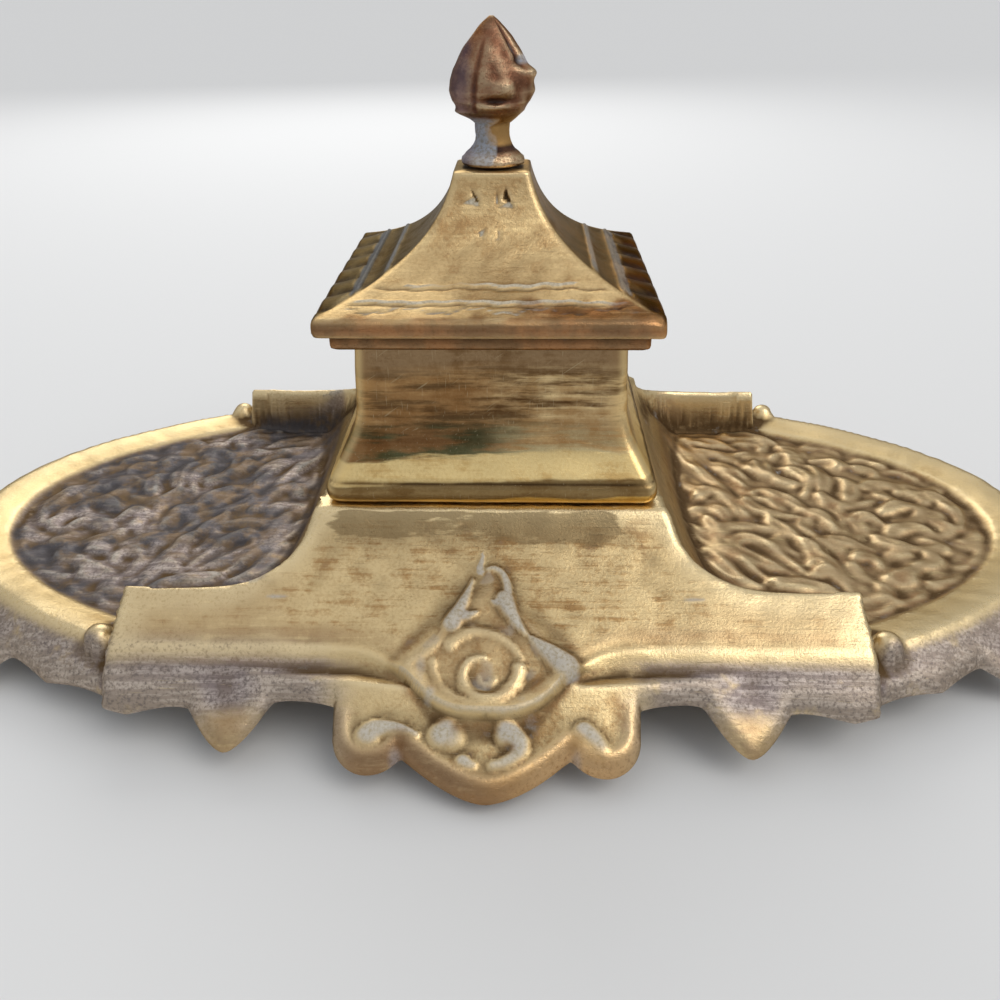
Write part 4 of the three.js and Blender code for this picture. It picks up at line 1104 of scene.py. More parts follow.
def square_ring(half, corner, z):
    """Rounded square with evenly spaced points, as rows of x, y, z."""
    rows = []
    for quarter in range(4):
        start = quarter * math.pi / 2.0
        turn_x, turn_y = math.cos(start), math.sin(start)
        along = np.linspace(-1.0, 1.0, side_steps, endpoint=False) * (half - corner)
        rows += [(half * turn_x - a * turn_y, half * turn_y + a * turn_x) for a in along]
        middle_x = (half - corner) * (turn_x - turn_y)
        middle_y = (half - corner) * (turn_y + turn_x)
        for k in range(corner_steps):
            angle = start + math.pi / 2.0 * k / corner_steps
            rows.append((middle_x + corner * math.cos(angle), middle_y + corner * math.sin(angle)))
    flat = np.array(rows)
    return np.column_stack([flat, np.full(len(flat), float(z))])


def round_ring(radius, z):
    """Circle with the same count and order of points as the square ring."""
    flat = square_ring(10.0, 1.0, 0.0)[:, :2]
    flat /= np.hypot(flat[:, 0], flat[:, 1])[:, None]
    return np.column_stack([flat * radius, np.full(len(flat), float(z))])


def lathe_ring(radius, z, count=72):
    """Plain circle about the Z axis."""
    angle = np.linspace(0.0, 2.0 * math.pi, count, endpoint=False)
    return np.column_stack([radius * np.cos(angle), radius * np.sin(angle), np.full(count, z)])


def skin(rings, closed=False):
    """Joins rings of points by four-sided faces. Open ends get a cap."""
    count = len(rings[0])
    points = np.vstack(rings)
    total = len(rings)
    faces = []
    for level in range(total if closed else total - 1):
        low, high = level * count, (level + 1) % total * count
        for k in range(count):
            after = (k + 1) % count
            faces.append((low + k, low + after, high + after, high + k))
    if not closed:
        faces.append(tuple(reversed(range(count))))
        faces.append(tuple(range((total - 1) * count, total * count)))
    return points, faces


def triangles(faces):
    """Faces cut into triangles."""
    return [(face[0], face[k], face[k + 1]) for face in faces for k in range(1, len(face) - 1)]


def joined(parts):
    """Several shells as one list of points and faces."""
    points, faces = [], []
    count = 0
    for part_points, part_faces in parts:
        if solid_volume(part_points, part_faces) < 0.0:
            part_faces = [tuple(reversed(face)) for face in part_faces]
        points.append(part_points)
        faces += [tuple(k + count for k in face) for face in part_faces]
        count += len(part_points)
    return np.vstack(points), faces


def rod_along_x(radius, low, high, y, z, rounding, count=40):
    """Short round bar along X with rounded ends."""
    angle = np.linspace(0.0, 2.0 * math.pi, count, endpoint=False)
    pull = rounding / radius
    levels = [(low, 0.55), (low, 1.0 - pull), (low + 0.3 * rounding, 1.0 - 0.3 * pull)]
    levels += [(low + rounding, 1.0), (high - rounding, 1.0)]
    levels += [(high - 0.3 * rounding, 1.0 - 0.3 * pull), (high, 1.0 - pull), (high, 0.55)]
    rings = []
    for x, share in levels:
        rings.append(np.column_stack([
            np.full(count, x), y + radius * share * np.cos(angle), z + radius * share * np.sin(angle),
        ]))
    return skin(rings)


def plate_along_x(outline_yz, low, high):
    """Thick plate cut to an outline in Y and Z."""
    rings = [np.array([(x, y, z) for y, z in outline_yz]) for x in (low, high)]
    return skin(rings)


def well_profile(height):
    """Half width of the well over its foot: band, cove, then upright neck."""
    if height < band_height:
        return well_half - 0.5 * (2.0 * height / band_height - 1.0) ** 2
    if height < band_height + cove_height:
        part = (height - band_height) / cove_height
        return neck_half + (well_half - 0.5 - neck_half) * (1.0 - math.sin(part * math.pi / 2.0))
    part = (height - band_height - cove_height) / taper_run
    return neck_half - neck_taper * part


well_rings = []
foot_levels = [0.0, 0.08, 0.3, 0.7, 1.2, 1.8, 2.4, 3.0, 3.5, 3.8, 3.95]
body_levels = list(np.linspace(4.05, 27.6, 44)) + [28.0, 28.35, 28.52]
for height in foot_levels + body_levels:
    bulge = 0.5 * math.sin(math.pi * min(height, band_height) / band_height) ** 0.6
    pull = 0.9 * smooth_step(0.45, 0.0, height) + 0.35 * hump(height, band_height, 0.22)
    top_round = 0.5 * smooth_step(28.0, 28.6, height)
    half = well_profile(height) - pull * 0.7 - top_round
    if height < band_height:
        half = well_half - 0.6 + bulge - pull * 0.5
    well_rings.append(square_ring(half, well_corner, well_foot + height))
deck_z = well_foot + well_height
for part in (0.03, 0.25, 0.5, 0.75, 0.95, 1.0):
    square = square_ring(neck_half - 1.1, 2.2, deck_z)
    circle = round_ring(deck_hole, deck_z)
    well_rings.append(square * (1.0 - part) + circle * part)
well_rings.append(round_ring(deck_hole, deck_z - well_wall))
well_rings.append(square_ring(neck_half - neck_taper - well_wall, 1.0, deck_z - well_wall))
for height in (24.0, 17.0, 13.0, 10.0, 7.0, 5.0, 4.0, 0.0):
    well_rings.append(square_ring(well_profile(height) - well_wall, 1.0, well_foot + height))
shell_points, shell_faces = skin(well_rings, closed=True)
rings_outside = len(foot_levels + body_levels) * len(well_rings[0])
shell_x, shell_y, shell_z = shell_points.T.copy()
dent = 0.07 * waver(shell_x + 2.1 * shell_y, 3.0 * shell_z, 14.0, 8)
dent[rings_outside:] = 0.0
shell_half = np.maximum(np.abs(shell_x), np.abs(shell_y))
flat_out = shell_points[:, :2] / np.maximum(shell_half, 1e-6)[:, None]
shell_points[:, :2] += flat_out * dent[:, None]

lug_arm = [(22.9, 54.8), (22.9, 61.5), (30.2, 61.5), (30.64, 63.6), (32.4, 63.6), (34.05, 62.28)]
well_parts = [(shell_points, shell_faces)]
for side in (-1, 1):
    low, high = sorted((side * 5.3, side * 10.3))
    well_parts.append(plate_along_x(lug_arm, low + 0.1, high - 0.1))
    well_parts.append(rod_along_x(barrel_radius, low, high, pin_y, pin_z, 0.4))
for side_x in (-1, 1):
    for side_y in (-1, 1):
        post_ends = [lathe_ring(post_radius, z, 24) for z in (well_foot, well_foot + post_height)]
        post_points, post_faces = skin(post_ends)
        well_parts.append((post_points + [side_x * screw_place, side_y * screw_place, 0.0], post_faces))
well_points, well_faces = joined(well_parts)
height_over = well_points[:, 2] - well_foot
well_wide, well_across = np.abs(well_points[:, 0]), np.abs(well_points[:, 1])
corner_gap = np.maximum(well_wide, well_across) - np.minimum(well_wide, well_across)
# Corners: worn bright, and also given a painted highlight
corner_wear_and_highlight = smooth_step(4.5, 0.3, corner_gap)
well_piece = make_piece("cast_well", well_points, well_faces, {
    "crest": np.clip(corner_wear_and_highlight * 0.9 + 0.8 * hump(height_over, 28.5, 0.35), 0.0, 1.0),
    "hollow": np.clip(0.9 * hump(height_over, 4.0, 0.3), 0.0, 1.0),
    "stain_and_shade": 0.7 * smooth_step(26.0, 20.0, height_over) * smooth_step(8.5, 11.0, height_over),
    # Painted highlight on the lowest edge of the foot and on the corners
    "painted_highlight": np.clip(smooth_step(1.0, 0.5, height_over) + 0.6 * corner_wear_and_highlight, 0.0, 1.0),
}, sharp=38.0)


def well_tarnish_and_reflections(tree, where, color):
    """Bands up the well, partly tarnish and partly painted reflections: gold foot,
    dull band, bright cove, green and red-brown body, mauve top; the body and brown
    band painted lighter to the right as a reflection, a painted highlight on the
    corners, and scratches that cross them."""
    split = add_node(tree, "SeparateXYZ", {"Vector": where}).outputs
    drift = noise(tree, where, 42.0, 4.0, (0.7, 0.7, 1.0))
    tilt = weigh(tree, split[2], (drift, 0.005), (split[0], -0.02))
    patches = noise(tree, where, 150.0, 7.0, (0.30, 0.30, 1.0))
    wisps = noise(tree, where, 700.0, 5.0, (0.10, 0.10, 1.0))
    upright = noise(tree, where, 3200.0, 2.0, (1.0, 1.0, 0.05))
    slanted = add_node(tree, "Mapping", {"Vector": where, "Rotation": (0.0, 0.62, 0.0)}).outputs[0]
    diagonal = noise(tree, slanted, 3000.0, 2.0, (0.04, 1.0, 1.0))
    shade = mix(tree, fade(tree, tilt, 0.0364, 0.0369), paint(250, 214, 130), paint(152, 132, 100))
    shade = mix(tree, fade(tree, tilt, 0.0397, 0.0402), shade, paint(255, 238, 196))
    # Painted reflection: the body is darker on the left and lighter on the right
    painted_light_to_right = fade(tree, weigh(tree, split[0], (drift, 0.016), (patches, 0.02)), 0.012, 0.028)
    green = mix(tree, painted_light_to_right, paint(82, 88, 66), paint(238, 230, 204))
    rusty = mix(tree, painted_light_to_right, paint(148, 114, 82), paint(232, 204, 166))
    rust_part = fade(tree, weigh(tree, 0.0, (patches, 0.6), (wisps, 0.4)), 0.47, 0.56)
    body = mix(tree, rust_part, green, rusty)
    shade = mix(tree, fade(tree, weigh(tree, tilt, (wisps, 0.003)), 0.0452, 0.0460), shade, body)
    tan = mix(tree, painted_light_to_right, paint(194, 162, 126), paint(250, 234, 206))
    tan_part = fade(tree, weigh(tree, 0.0, (patches, 0.5), (wisps, 0.5)), 0.44, 0.56)
    brown = mix(tree, tan_part, paint(124, 100, 74), tan)
    shade = mix(tree, fade(tree, weigh(tree, tilt, (wisps, 0.004)), 0.0495, 0.0530), shade, brown)
    shade = mix(tree, fade(tree, tilt, 0.0575, 0.0615), shade, paint(150, 128, 110))
    # Painted highlight where the highlight mask lies
    bright = fade(tree, mask(tree, "painted_highlight"), 0.30, 0.85)
    shade = mix(tree, bright, shade, paint(238, 226, 200))
    tinted = mix(tree, 0.95, color, shade, "MULTIPLY")
    lines = sum_up(tree, "MAXIMUM", fade(tree, upright, 0.64, 0.74), fade(tree, diagonal, 0.66, 0.76))
    return mix(tree, times(tree, lines, 0.30), tinted, paint(206, 190, 152))


well_brass = brass(
    "worn_polished_brass", bare=paint(236, 222, 186), film=paint(206, 184, 144),
    dark=paint(90, 72, 50), chalk=paint(196, 194, 182), film_amount=0.20, streaks=0.8,
    bump=0.00006, masks=("crest", "hollow", "stain_and_shade", "painted_highlight"), tint=well_tarnish_and_reflections,
)
well_piece.data.materials.append(well_brass)
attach(well_piece, "base")
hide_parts("well_body")

# Pot for ink: a loose cup of white glazed porcelain whose lip rests on the
# deck. Dried ink has stained the lower part of its inside.
pot_foot = 37.1
pot_radius = 16.8
pot_inner = 14.4
pot_lip_radius = 18.6
pot_lip_low = 62.1
pot_lip_high = 63.7
pot_floor = 39.5
pot_profile = [
    (0.4, pot_foot + 0.7), (12.6, pot_foot + 0.7), (13.2, pot_foot + 0.1), (14.6, pot_foot),
    (15.9, pot_foot + 0.5), (16.6, pot_foot + 1.6), (pot_radius, pot_foot + 3.2),
    (pot_radius, 50.0), (pot_radius, pot_lip_low - 0.6), (pot_radius + 0.1, pot_lip_low),
    (pot_lip_radius - 0.5, pot_lip_low), (pot_lip_radius - 0.1, pot_lip_low + 0.3),
    (pot_lip_radius, pot_lip_low + 0.8), (pot_lip_radius - 0.2, pot_lip_high - 0.3),
    (pot_lip_radius - 0.7, pot_lip_high), (15.4, pot_lip_high), (14.7, pot_lip_high - 0.3),
    (pot_inner, pot_lip_high - 1.0), (pot_inner, 52.0), (pot_inner, pot_floor + 3.0),
    (13.6, pot_floor + 1.1), (12.0, pot_floor + 0.2), (8.0, pot_floor), (0.4, pot_floor),
]
pot_points, pot_faces = skin([lathe_ring(r, z, 120) for r, z in pot_profile])
pot_piece = make_piece("porcelain_pot", pot_points, pot_faces, sharp=60.0)


def build_glaze():
    """White glaze with cloudy stains, fine crazing and dried ink low inside."""
    material, tree, shader, where = new_material("white_glaze")
    shader.inputs["Coat Roughness"].default_value = 0.08
    split = add_node(tree, "SeparateXYZ", {"Vector": where}).outputs
    clouds = noise(tree, where, 90.0, 6.0)
    cells = {"Vector": where, "Scale": 420.0}
    crazing = add_node(tree, "TexVoronoi", cells, feature="DISTANCE_TO_EDGE").outputs[0]
    color = mix(tree, fade(tree, clouds, 0.4, 0.65), paint(226, 222, 208), paint(214, 205, 184))
    color = mix(tree, fade(tree, crazing, 0.025, 0.0), color, paint(150, 132, 104))
    level = {0: where, 1: (1.0, 1.0, 0.0)}
    level_place = add_node(tree, "VectorMath", level, operation="MULTIPLY").outputs[0]
    radius = add_node(tree, "VectorMath", {0: level_place}, operation="LENGTH").outputs["Value"]
    ink = times(tree, fade(tree, radius, 0.0153, 0.0147), fade(tree, split[2], 0.0545, 0.0495))
    ink = times(tree, ink, fade(tree, clouds, 0.25, 0.5))
    color = mix(tree, ink, color, paint(34, 36, 58))
    tree.links.new(color, shader.inputs["Base Color"])
    tree.links.new(spread(tree, clouds, 0.10, 0.24), shader.inputs["Roughness"])
    return material


pot_piece.data.materials.append(build_glaze())
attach(pot_piece, "pot")
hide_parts("ink_pot")

# Hinge pin: a plain steel wire with rounded ends, pushed through the lugs and
# the barrel.
pin_half = 10.9
pin_piece = make_piece("hinge_wire", *rod_along_x(1.0, -pin_half, pin_half, pin_y, pin_z, 0.3, 32))


def build_steel():
    """Dull steel with brown spots."""
    material, tree, shader, where = new_material("dull_steel")
    shader.inputs["Metallic"].default_value = 1.0
    spots = noise(tree, where, 420.0, 7.0)
    grain = noise(tree, where, 2400.0, 4.0)
    color = mix(tree, fade(tree, spots, 0.5, 0.68), paint(168, 164, 156), paint(112, 84, 62))
    color = mix(tree, fade(tree, grain, 0.5, 0.8), color, paint(132, 128, 122))
    tree.links.new(color, shader.inputs["Base Color"])
    tree.links.new(spread(tree, spots, 0.28, 0.62), shader.inputs["Roughness"])
    bump = add_node(tree, "Bump", {"Height": grain, "Strength": 0.5, "Distance": 0.00005})
    tree.links.new(bump.outputs[0], shader.inputs["Normal"])
    return material


dull_steel = build_steel()
pin_piece.data.materials.append(dull_steel)
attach(pin_piece, "base")
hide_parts("hinge_pin")

# Base screws: four steel cheese-head screws, driven from below through the
# plinth's top into the posts of the well.
head_low = 28.2
head_high = 30.0
head_radius = 3.0
shank_radius = 1.5
shank_top = 41.0
slot_half = 0.45
for side_y, row_name in ((-1, "front"), (1, "rear")):
    for side_x, side_name in ((-1, "left"), (1, "right")):
        rings = []
        for share in (0.02, 0.2, 0.4, 0.6, 0.8, 0.95):
            ring = lathe_ring(head_radius * share, head_low, 72)
            in_slot = np.abs(ring[:, 0] + 0.4 * ring[:, 1]) < slot_half
            ring[:, 2] += np.where(in_slot, 0.7, 0.0)
            rings.append(ring)
        rings += [lathe_ring(r, z, 72) for r, z in (
            (head_radius, head_low + 0.25), (head_radius, head_high - 0.15),
            (head_radius - 0.15, head_high), (shank_radius, head_high),
        )]
        for k in range(37):
            z = head_high + 0.3 * k
            rings.append(lathe_ring(shank_radius - 0.18 * (k % 2), z, 72))
        rings.append(lathe_ring(0.6, shank_top, 72))
        points, faces = skin(rings)
        points += [side_x * screw_place, side_y * screw_place, 0.0]
        screw = make_piece(f"cheese_screw_{row_name}_{side_name}", points, faces, sharp=35.0)
        screw.data.materials.append(dull_steel)
        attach(screw, "base")
        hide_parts(f"base_screw_{row_name}_{side_name}")

# Lid: a hollow brass casting like a pagoda roof with one hinge barrel at the
# rear. Its left and right have slanted gadroons and two fillets; its front and
# rear are worn nearly flat and show thin lines.
lid_low = 62.1
lid_step_top = 64.9
lid_rim_top = 67.9
lid_half = 30.0
lid_step_half = 27.6
roof_core = 5.0
roof_curve = 7.5
roof_height = 19.5
lid_wall = 2.2
lid_opening = 22.0
lid_corner = 1.3
gadroons = 7
gadroon_lean = 0.38
gadroon_pitch = 2.0 * (lid_half - lid_corner) / gadroons


def roof_half(height):
    """Half width of the roof at a height over the rim."""
    return roof_core + (lid_half - roof_core) * math.exp(-height / roof_curve)


def under_roof(height):
    """Half width and height of the hollow, one wall inside the roof."""
    slope = (roof_half(height) - roof_core) / roof_curve
    lean = math.hypot(1.0, slope)
    return roof_half(height) - lid_wall / lean, lid_rim_top + height - lid_wall * slope / lean


outer_levels = [
    (lid_opening + 0.1, lid_low), (lid_step_half - 0.4, lid_low), (lid_step_half - 0.08, lid_low + 0.2),
    (lid_step_half, lid_low + 0.6), (lid_step_half, lid_step_top - 0.3),
    (lid_step_half + 0.2, lid_step_top), (lid_half - 0.7, lid_step_top),
    (lid_half - 0.2, lid_step_top + 0.2), (lid_half, lid_step_top + 0.8),
    (lid_half, lid_step_top + 1.6), (lid_half - 0.05, lid_rim_top - 0.7),
    (lid_half - 0.2, lid_rim_top - 0.25), (lid_half - 0.5, lid_rim_top),
]
rises = [-roof_curve * math.log(1.0 - step / (lid_half - roof_core))
         for step in np.arange(0.9, 13.6, 0.33)]
rises += list(np.arange(rises[-1] + 0.3, roof_height - 0.2, 0.3))
outer_levels += [(roof_half(rise), lid_rim_top + rise) for rise in rises]
outer_levels += [(roof_half(roof_height) - 0.1, lid_rim_top + roof_height - 0.1),
                 (roof_half(roof_height) - 0.6, lid_rim_top + roof_height),
                 (2.0, lid_rim_top + roof_height), (0.4, lid_rim_top + roof_height)]
lid_rings = [square_ring(half, min(lid_corner, 0.3 * half), z) for half, z in outer_levels]

inner_levels = [(lid_opening, lid_low + 0.02)]
inner_levels += [(min(lid_opening, half), z) for half, z in map(under_roof, np.linspace(0.9, 14.8, 22))]
hollow_rings = [square_ring(half, 2.0, z) for half, z in inner_levels]
ceiling = inner_levels[-1][1]
hollow_rings[-1] = square_ring(2.0, 0.8, ceiling)
hollow_rings.append(square_ring(0.5, 0.2, ceiling))
lid_points, lid_faces = skin(hollow_rings[::-1] + lid_rings)
first_outer = len(hollow_rings) * len(lid_rings[0])

lid_x, lid_y, lid_z = lid_points.T.copy()
half_here = np.maximum(np.abs(lid_x), np.abs(lid_y))
step_here = lid_half - half_here
on_side = np.abs(lid_x) >= np.abs(lid_y)
along = np.where(on_side, lid_y * np.sign(lid_x), lid_x * np.sign(lid_y))
roof_point = (np.arange(len(lid_points)) >= first_outer) & (lid_z > lid_rim_top - 0.4)
hip_gap = half_here - np.abs(along)
clear_corner = smooth_step(0.4, 2.6, hip_gap)
phase = (np.where(on_side, lid_y, along) + gadroon_lean * step_here) / gadroon_pitch
gadroon = (np.abs(np.sin(math.pi * phase)) ** 0.75 - 0.35) * smooth_step(-0.1, 0.8, step_here)
gadroon *= smooth_step(6.3, 5.2, step_here)
sway = 0.22 * np.sin(0.37 * along) + 0.16 * np.sin(1.3 * along + 1.0)
fillets = hump(step_here, 7.0, 0.55) + 0.9 * hump(step_here, 11.6, 0.6)
lines = hump(step_here, 5.3 + sway, 0.34) + 0.9 * hump(step_here, 9.3 + sway, 0.34) * (np.abs(along) < 15.0)
valley = hump(step_here, 9.3, 1.5)
crack = hump(step_here, 3.2 + 0.7 * np.sin(along * 0.55) + 0.4 * np.sin(along * 1.7), 0.3)
wear = 0.55 + 0.45 * waver(lid_x, lid_y, 16.0, 4)
side_relief = gadroon + 0.75 * fillets - 0.35 * valley
cracked = smooth_step(-0.7, 0.1, waver(lid_x, lid_y, 9.0, 3))
front_relief = 0.32 * lines * wear - 0.30 * crack * cracked
front_relief -= 0.28 * (hump(step_here, 4.5 + sway, 0.3) + hump(step_here, 8.5 + sway, 0.3))
front_relief += 0.10 * waver(lid_x, lid_z * 2.0, 7.0, 9)
relief = np.where(on_side, side_relief, front_relief) * clear_corner * roof_point
lid_points[:, 2] += relief * smooth_step(24.0, 16.0, step_here) * 0.9


def chip_part(across, level, corners):
    """How far down a three-cornered chip goes, from 0 at its edge to 1."""
    gap = np.full(np.shape(across), 9.0)
    for k in range(3):
        start, end = np.array(corners[k]), np.array(corners[(k + 1) % 3])
        way = (end - start) / np.hypot(*(end - start))
        gap = np.minimum(gap, way[0] * (level - start[1]) - way[1] * (across - start[0]))
    return smooth_step(-0.15, 0.35, gap)


# Chips high on the front face: three corners each, and depth
front_chips = [
    ([(-5.6, 82.4), (-2.1, 81.8), (-2.6, 83.7)], 0.40), ([(-3.0, 82.5), (-2.1, 82.4), (-3.7, 84.8)], 0.90),
    ([(0.6, 82.2), (1.3, 82.2), (0.9, 84.8)], 0.35), ([(2.0, 82.8), (3.5, 82.3), (2.4, 84.9)], 1.00),
    ([(1.0, 81.7), (4.1, 81.6), (3.2, 82.9)], 0.40), ([(-2.5, 78.0), (-1.5, 76.8), (-1.1, 78.6)], 0.35),
    ([(0.8, 76.8), (1.5, 76.9), (1.4, 78.7)], 0.35), ([(1.3, 73.6), (1.9, 73.6), (1.7, 75.6)], 0.30),
]
on_front = (lid_y < 0) & ~on_side & roof_point
chip_film = np.zeros(len(lid_points))
chip_depth = np.zeros(len(lid_points))
for corners, deep in front_chips:
    part = np.where(on_front, chip_part(lid_x, lid_z, corners), 0.0)
    chip_depth = np.maximum(chip_depth, deep * part)
    chip_film = np.maximum(chip_film, part * (0.8 if deep < 0.5 else 0.0))
lid_points[:, 1] += chip_depth
chip_film *= smooth_step(0.6, 0.4, chip_depth)
# A chip off the right front corner
chip_gap = np.hypot(np.hypot(lid_x - lid_half, lid_y + lid_half), 0.8 * (lid_z - lid_rim_top))
chip = 0.9 * smooth_step(3.6, 0.6, chip_gap)
lid_points[:, 0] -= 0.5 * chip
lid_points[:, 1] += 0.5 * chip
lid_points[:, 2] -= 0.4 * chip

leaf_outline = [(27.4, 67.0), (27.4, 64.9), (31.3, 63.6), (33.94, 64.92)]
barrel = rod_along_x(barrel_radius, -5.0, 5.0, pin_y, pin_z, 0.4)
shell = (lid_points, lid_faces)
lid_all, lid_all_faces = joined([shell, plate_along_x(leaf_outline, -4.9, 4.9), barrel])
lid_crest, lid_hollow = relief_masks(lid_all, triangles(lid_all_faces), 6, 0.22)


def with_hinge(values, hinge_value=0.0):
    """Values of the roof's points and one value for all points of the hinge."""
    return np.concatenate([values, np.full(len(lid_all) - len(lid_points), hinge_value)])


edge_line = hump(lid_z, lid_rim_top - 0.2, 0.5) + hump(lid_z, lid_step_top + 0.2, 0.3)
side_film = 0.9 * fillets + 0.7 * hump(step_here, 6.0, 0.5)
front_film = (lines + 0.6 * crack) * (0.45 + 0.9 * wear)
deposit = highest(np.where(on_side, side_film, front_film) * clear_corner * roof_point, chip_film)
ragged_step = step_here + 1.2 * waver(lid_x, lid_y, 7.0, 14)
red_edge = highest(
    smooth_step(2.6, 0.2, np.abs(lid_z - lid_step_top - 1.6)) * (half_here > lid_half - 3.0),
    0.9 * (lid_z < lid_step_top + 0.1),
    0.9 * roof_point * smooth_step(6.0, 4.0, ragged_step) * smooth_step(0.0, 12.0, lid_x),
    0.7 * roof_point * smooth_step(2.2, 0.6, ragged_step),
)
hip_wear = smooth_step(1.4, 0.2, hip_gap) * roof_point
# Painted highlights along the top edges of the rim and step, and round the corner chip
bright_edge = np.clip(0.6 * edge_line + 0.9 * smooth_step(4.2, 1.0, chip_gap), 0.0, 1.0)
chip_dark = smooth_step(0.5, 0.8, chip_depth)
lid_piece = make_piece("cast_lid", lid_all, lid_all_faces, {
    "crest": np.maximum(0.6 * lid_crest, with_hinge(0.15 * hip_wear)),
    "hollow": np.clip(0.8 * lid_hollow + with_hinge(chip_dark), 0.0, 1.0),
    "bloom": with_hinge(deposit),
    "stain_and_shade": with_hinge(np.clip(0.9 * red_edge + 0.35 * roof_point, 0.0, 1.0)),
    "painted_highlight": with_hinge(bright_edge),
    # Where the roof's sides get painted dark reflections
    "sides": with_hinge((on_side & roof_point) * smooth_step(0.2, 1.4, hip_gap), 0.6),
    "redness": with_hinge(red_edge),
}, sharp=48.0)


def lid_tarnish_and_reflections(tree, where, color):
    """Painted dark reflections on the roof's sides, blue-grey on the left and brown on the right, and a
    red-brown rim.
    """
    split = add_node(tree, "SeparateXYZ", {"Vector": where}).outputs
    patches = noise(tree, where, 150.0, 6.0)
    cloudy = fade(tree, patches, 0.40, 0.62)
    # Painted dark reflections on the sides: blue-grey on the left, brown on the right
    left = mix(tree, cloudy, paint(64, 76, 100), paint(94, 100, 112))
    right = mix(tree, cloudy, paint(120, 114, 114), paint(156, 138, 124))
    dark = mix(tree, fade(tree, split[0], -0.005, 0.005), left, right)
    darkened = mix(tree, 0.95, color, dark, "MULTIPLY")
    color = mix(tree, times(tree, mask(tree, "sides"), 0.9), color, darkened)
    red = mix(tree, fade(tree, patches, 0.38, 0.6), paint(112, 72, 58), paint(176, 124, 96))
    reddened = mix(tree, 0.95, color, red, "MULTIPLY")
    return mix(tree, times(tree, mask(tree, "redness"), 0.85), color, reddened)


lid_brass = brass(
    "worn_roof_brass", bare=paint(236, 206, 150), film=paint(186, 150, 102),
    dark=paint(88, 70, 50), chalk=paint(206, 204, 190), film_amount=0.16, streaks=0.2,
    bump=0.00016, masks=("crest", "hollow", "bloom", "stain_and_shade", "painted_highlight"), tint=lid_tarnish_and_reflections,
)
lid_piece.data.materials.append(lid_brass)
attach(lid_piece, "lid_unit")
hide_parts("lid")

# Finial: a bud of leaves on a waisted neck and a round flange, cast in a redder
# metal. Its stud goes through the lid's flat top.
flange_low = 87.7
flange_radius = 5.8
neck_low = 92.2
neck_high = 94.6
neck_radius = 3.0
bud_low = 94.6
bud_high = 111.4
bud_radius = 7.15
stud_radius = 1.8
stud_low = 79.7
bud_sides = 144
front_angle = -math.pi / 2.0

# Folds of the bud: side, level, width round the bud, height, and reach
bud_folds = [
    (0.25, 0.38, 0.34, 0.085, 0.95), (0.10, 0.245, 0.38, 0.034, -0.75), (0.10, 0.185, 0.50, 0.045, 0.55),
    (1.20, 0.50, 0.34, 0.065, 1.50), (0.95, 0.60, 0.30, 0.040, -0.70), (1.40, 0.33, 0.50, 0.10, 0.60),
    (-1.30, 0.32, 0.65, 0.14, 0.50), (-1.40, 0.11, 0.50, 0.045, 0.85), (-0.80, 0.56, 0.40, 0.07, 0.35),
    (3.30, 0.40, 0.42, 0.085, 0.65), (3.20, 0.25, 0.50, 0.022, -0.60), (2.20, 0.50, 0.36, 0.065, 0.70),
    (-2.20, 0.48, 0.36, 0.07, 0.90), (-2.30, 0.30, 0.50, 0.10, 0.50), (2.40, 0.20, 0.55, 0.06, 0.45),
]
# Seams between its leaves: side at the foot, lean, low and high end, and depth
bud_seams = [
    (-0.48, 0.25, 0.14, 0.80, 0.22), (0.95, -0.80, 0.55, 0.95, 0.40), (2.45, 0.10, 0.20, 0.90, 0.40),
    (-2.75, 0.30, 0.15, 0.88, 0.40), (-1.65, 0.35, 0.20, 0.90, 0.30),
]


def bud_ring(radius, z, part):
    """Ring of the bud with its leaves, seams and side curls."""
    angle = np.linspace(0.0, 2.0 * math.pi, bud_sides, endpoint=False)
    turned = angle - front_angle
    ring = np.full(bud_sides, radius)
    if part >= 0.0:
        for side, level, wide, tall, reach in bud_folds:
            off = np.arctan2(np.sin(turned - side), np.cos(turned - side))
            ring += reach * hump(off, 0.0, wide) * hump(part, level, tall)
        for start, lean, low, high, deep in bud_seams:
            off = turned - start - lean * (part - low)
            off = np.arctan2(np.sin(off), np.cos(off))
            run = smooth_step(low - 0.06, low + 0.04, part) * smooth_step(high + 0.04, high - 0.08, part)
            ring -= run * deep * hump(off, 0.0, 0.09)
            ring += run * 0.6 * deep * hump(off, 0.24, 0.16)
    return np.column_stack([ring * np.cos(angle), ring * np.sin(angle), np.full(bud_sides, z)])


bud_shape = ([0.0, 0.04, 0.12, 0.22, 0.32, 0.42, 0.52, 0.62, 0.72, 0.82, 0.90, 0.96, 1.0],
             [0.43, 0.56, 0.80, 0.93, 0.98, 0.97, 0.92, 0.82, 0.67, 0.49, 0.32, 0.17, 0.05])
finial_rings = [bud_ring(r, z, -1.0) for r, z in (
    (0.3, stud_low), (stud_radius - 0.3, stud_low), (stud_radius, stud_low + 0.3),
    (stud_radius, flange_low), (flange_radius - 0.5, flange_low), (flange_radius - 0.1, flange_low + 0.25),
    (flange_radius, flange_low + 0.7), (flange_radius - 0.15, flange_low + 1.2),
    (flange_radius - 0.6, flange_low + 1.6), (4.9, flange_low + 2.0), (4.2, flange_low + 2.6),
    (3.6, flange_low + 3.3), (3.2, flange_low + 4.0), (neck_radius, neck_low + 0.3),
    (neck_radius, neck_low + 1.2), (neck_radius + 0.05, neck_high - 0.4),
)]
for part in np.linspace(0.0, 1.0, 110):
    radius = bud_radius * np.interp(part, *bud_shape)
    finial_rings.append(bud_ring(radius, bud_low + (bud_high - bud_low) * part, part))
finial_points, finial_faces = skin(finial_rings)
worn_bud = 0.12 * waver(finial_points[:, 0] + finial_points[:, 1], finial_points[:, 2], 4.0, 6)
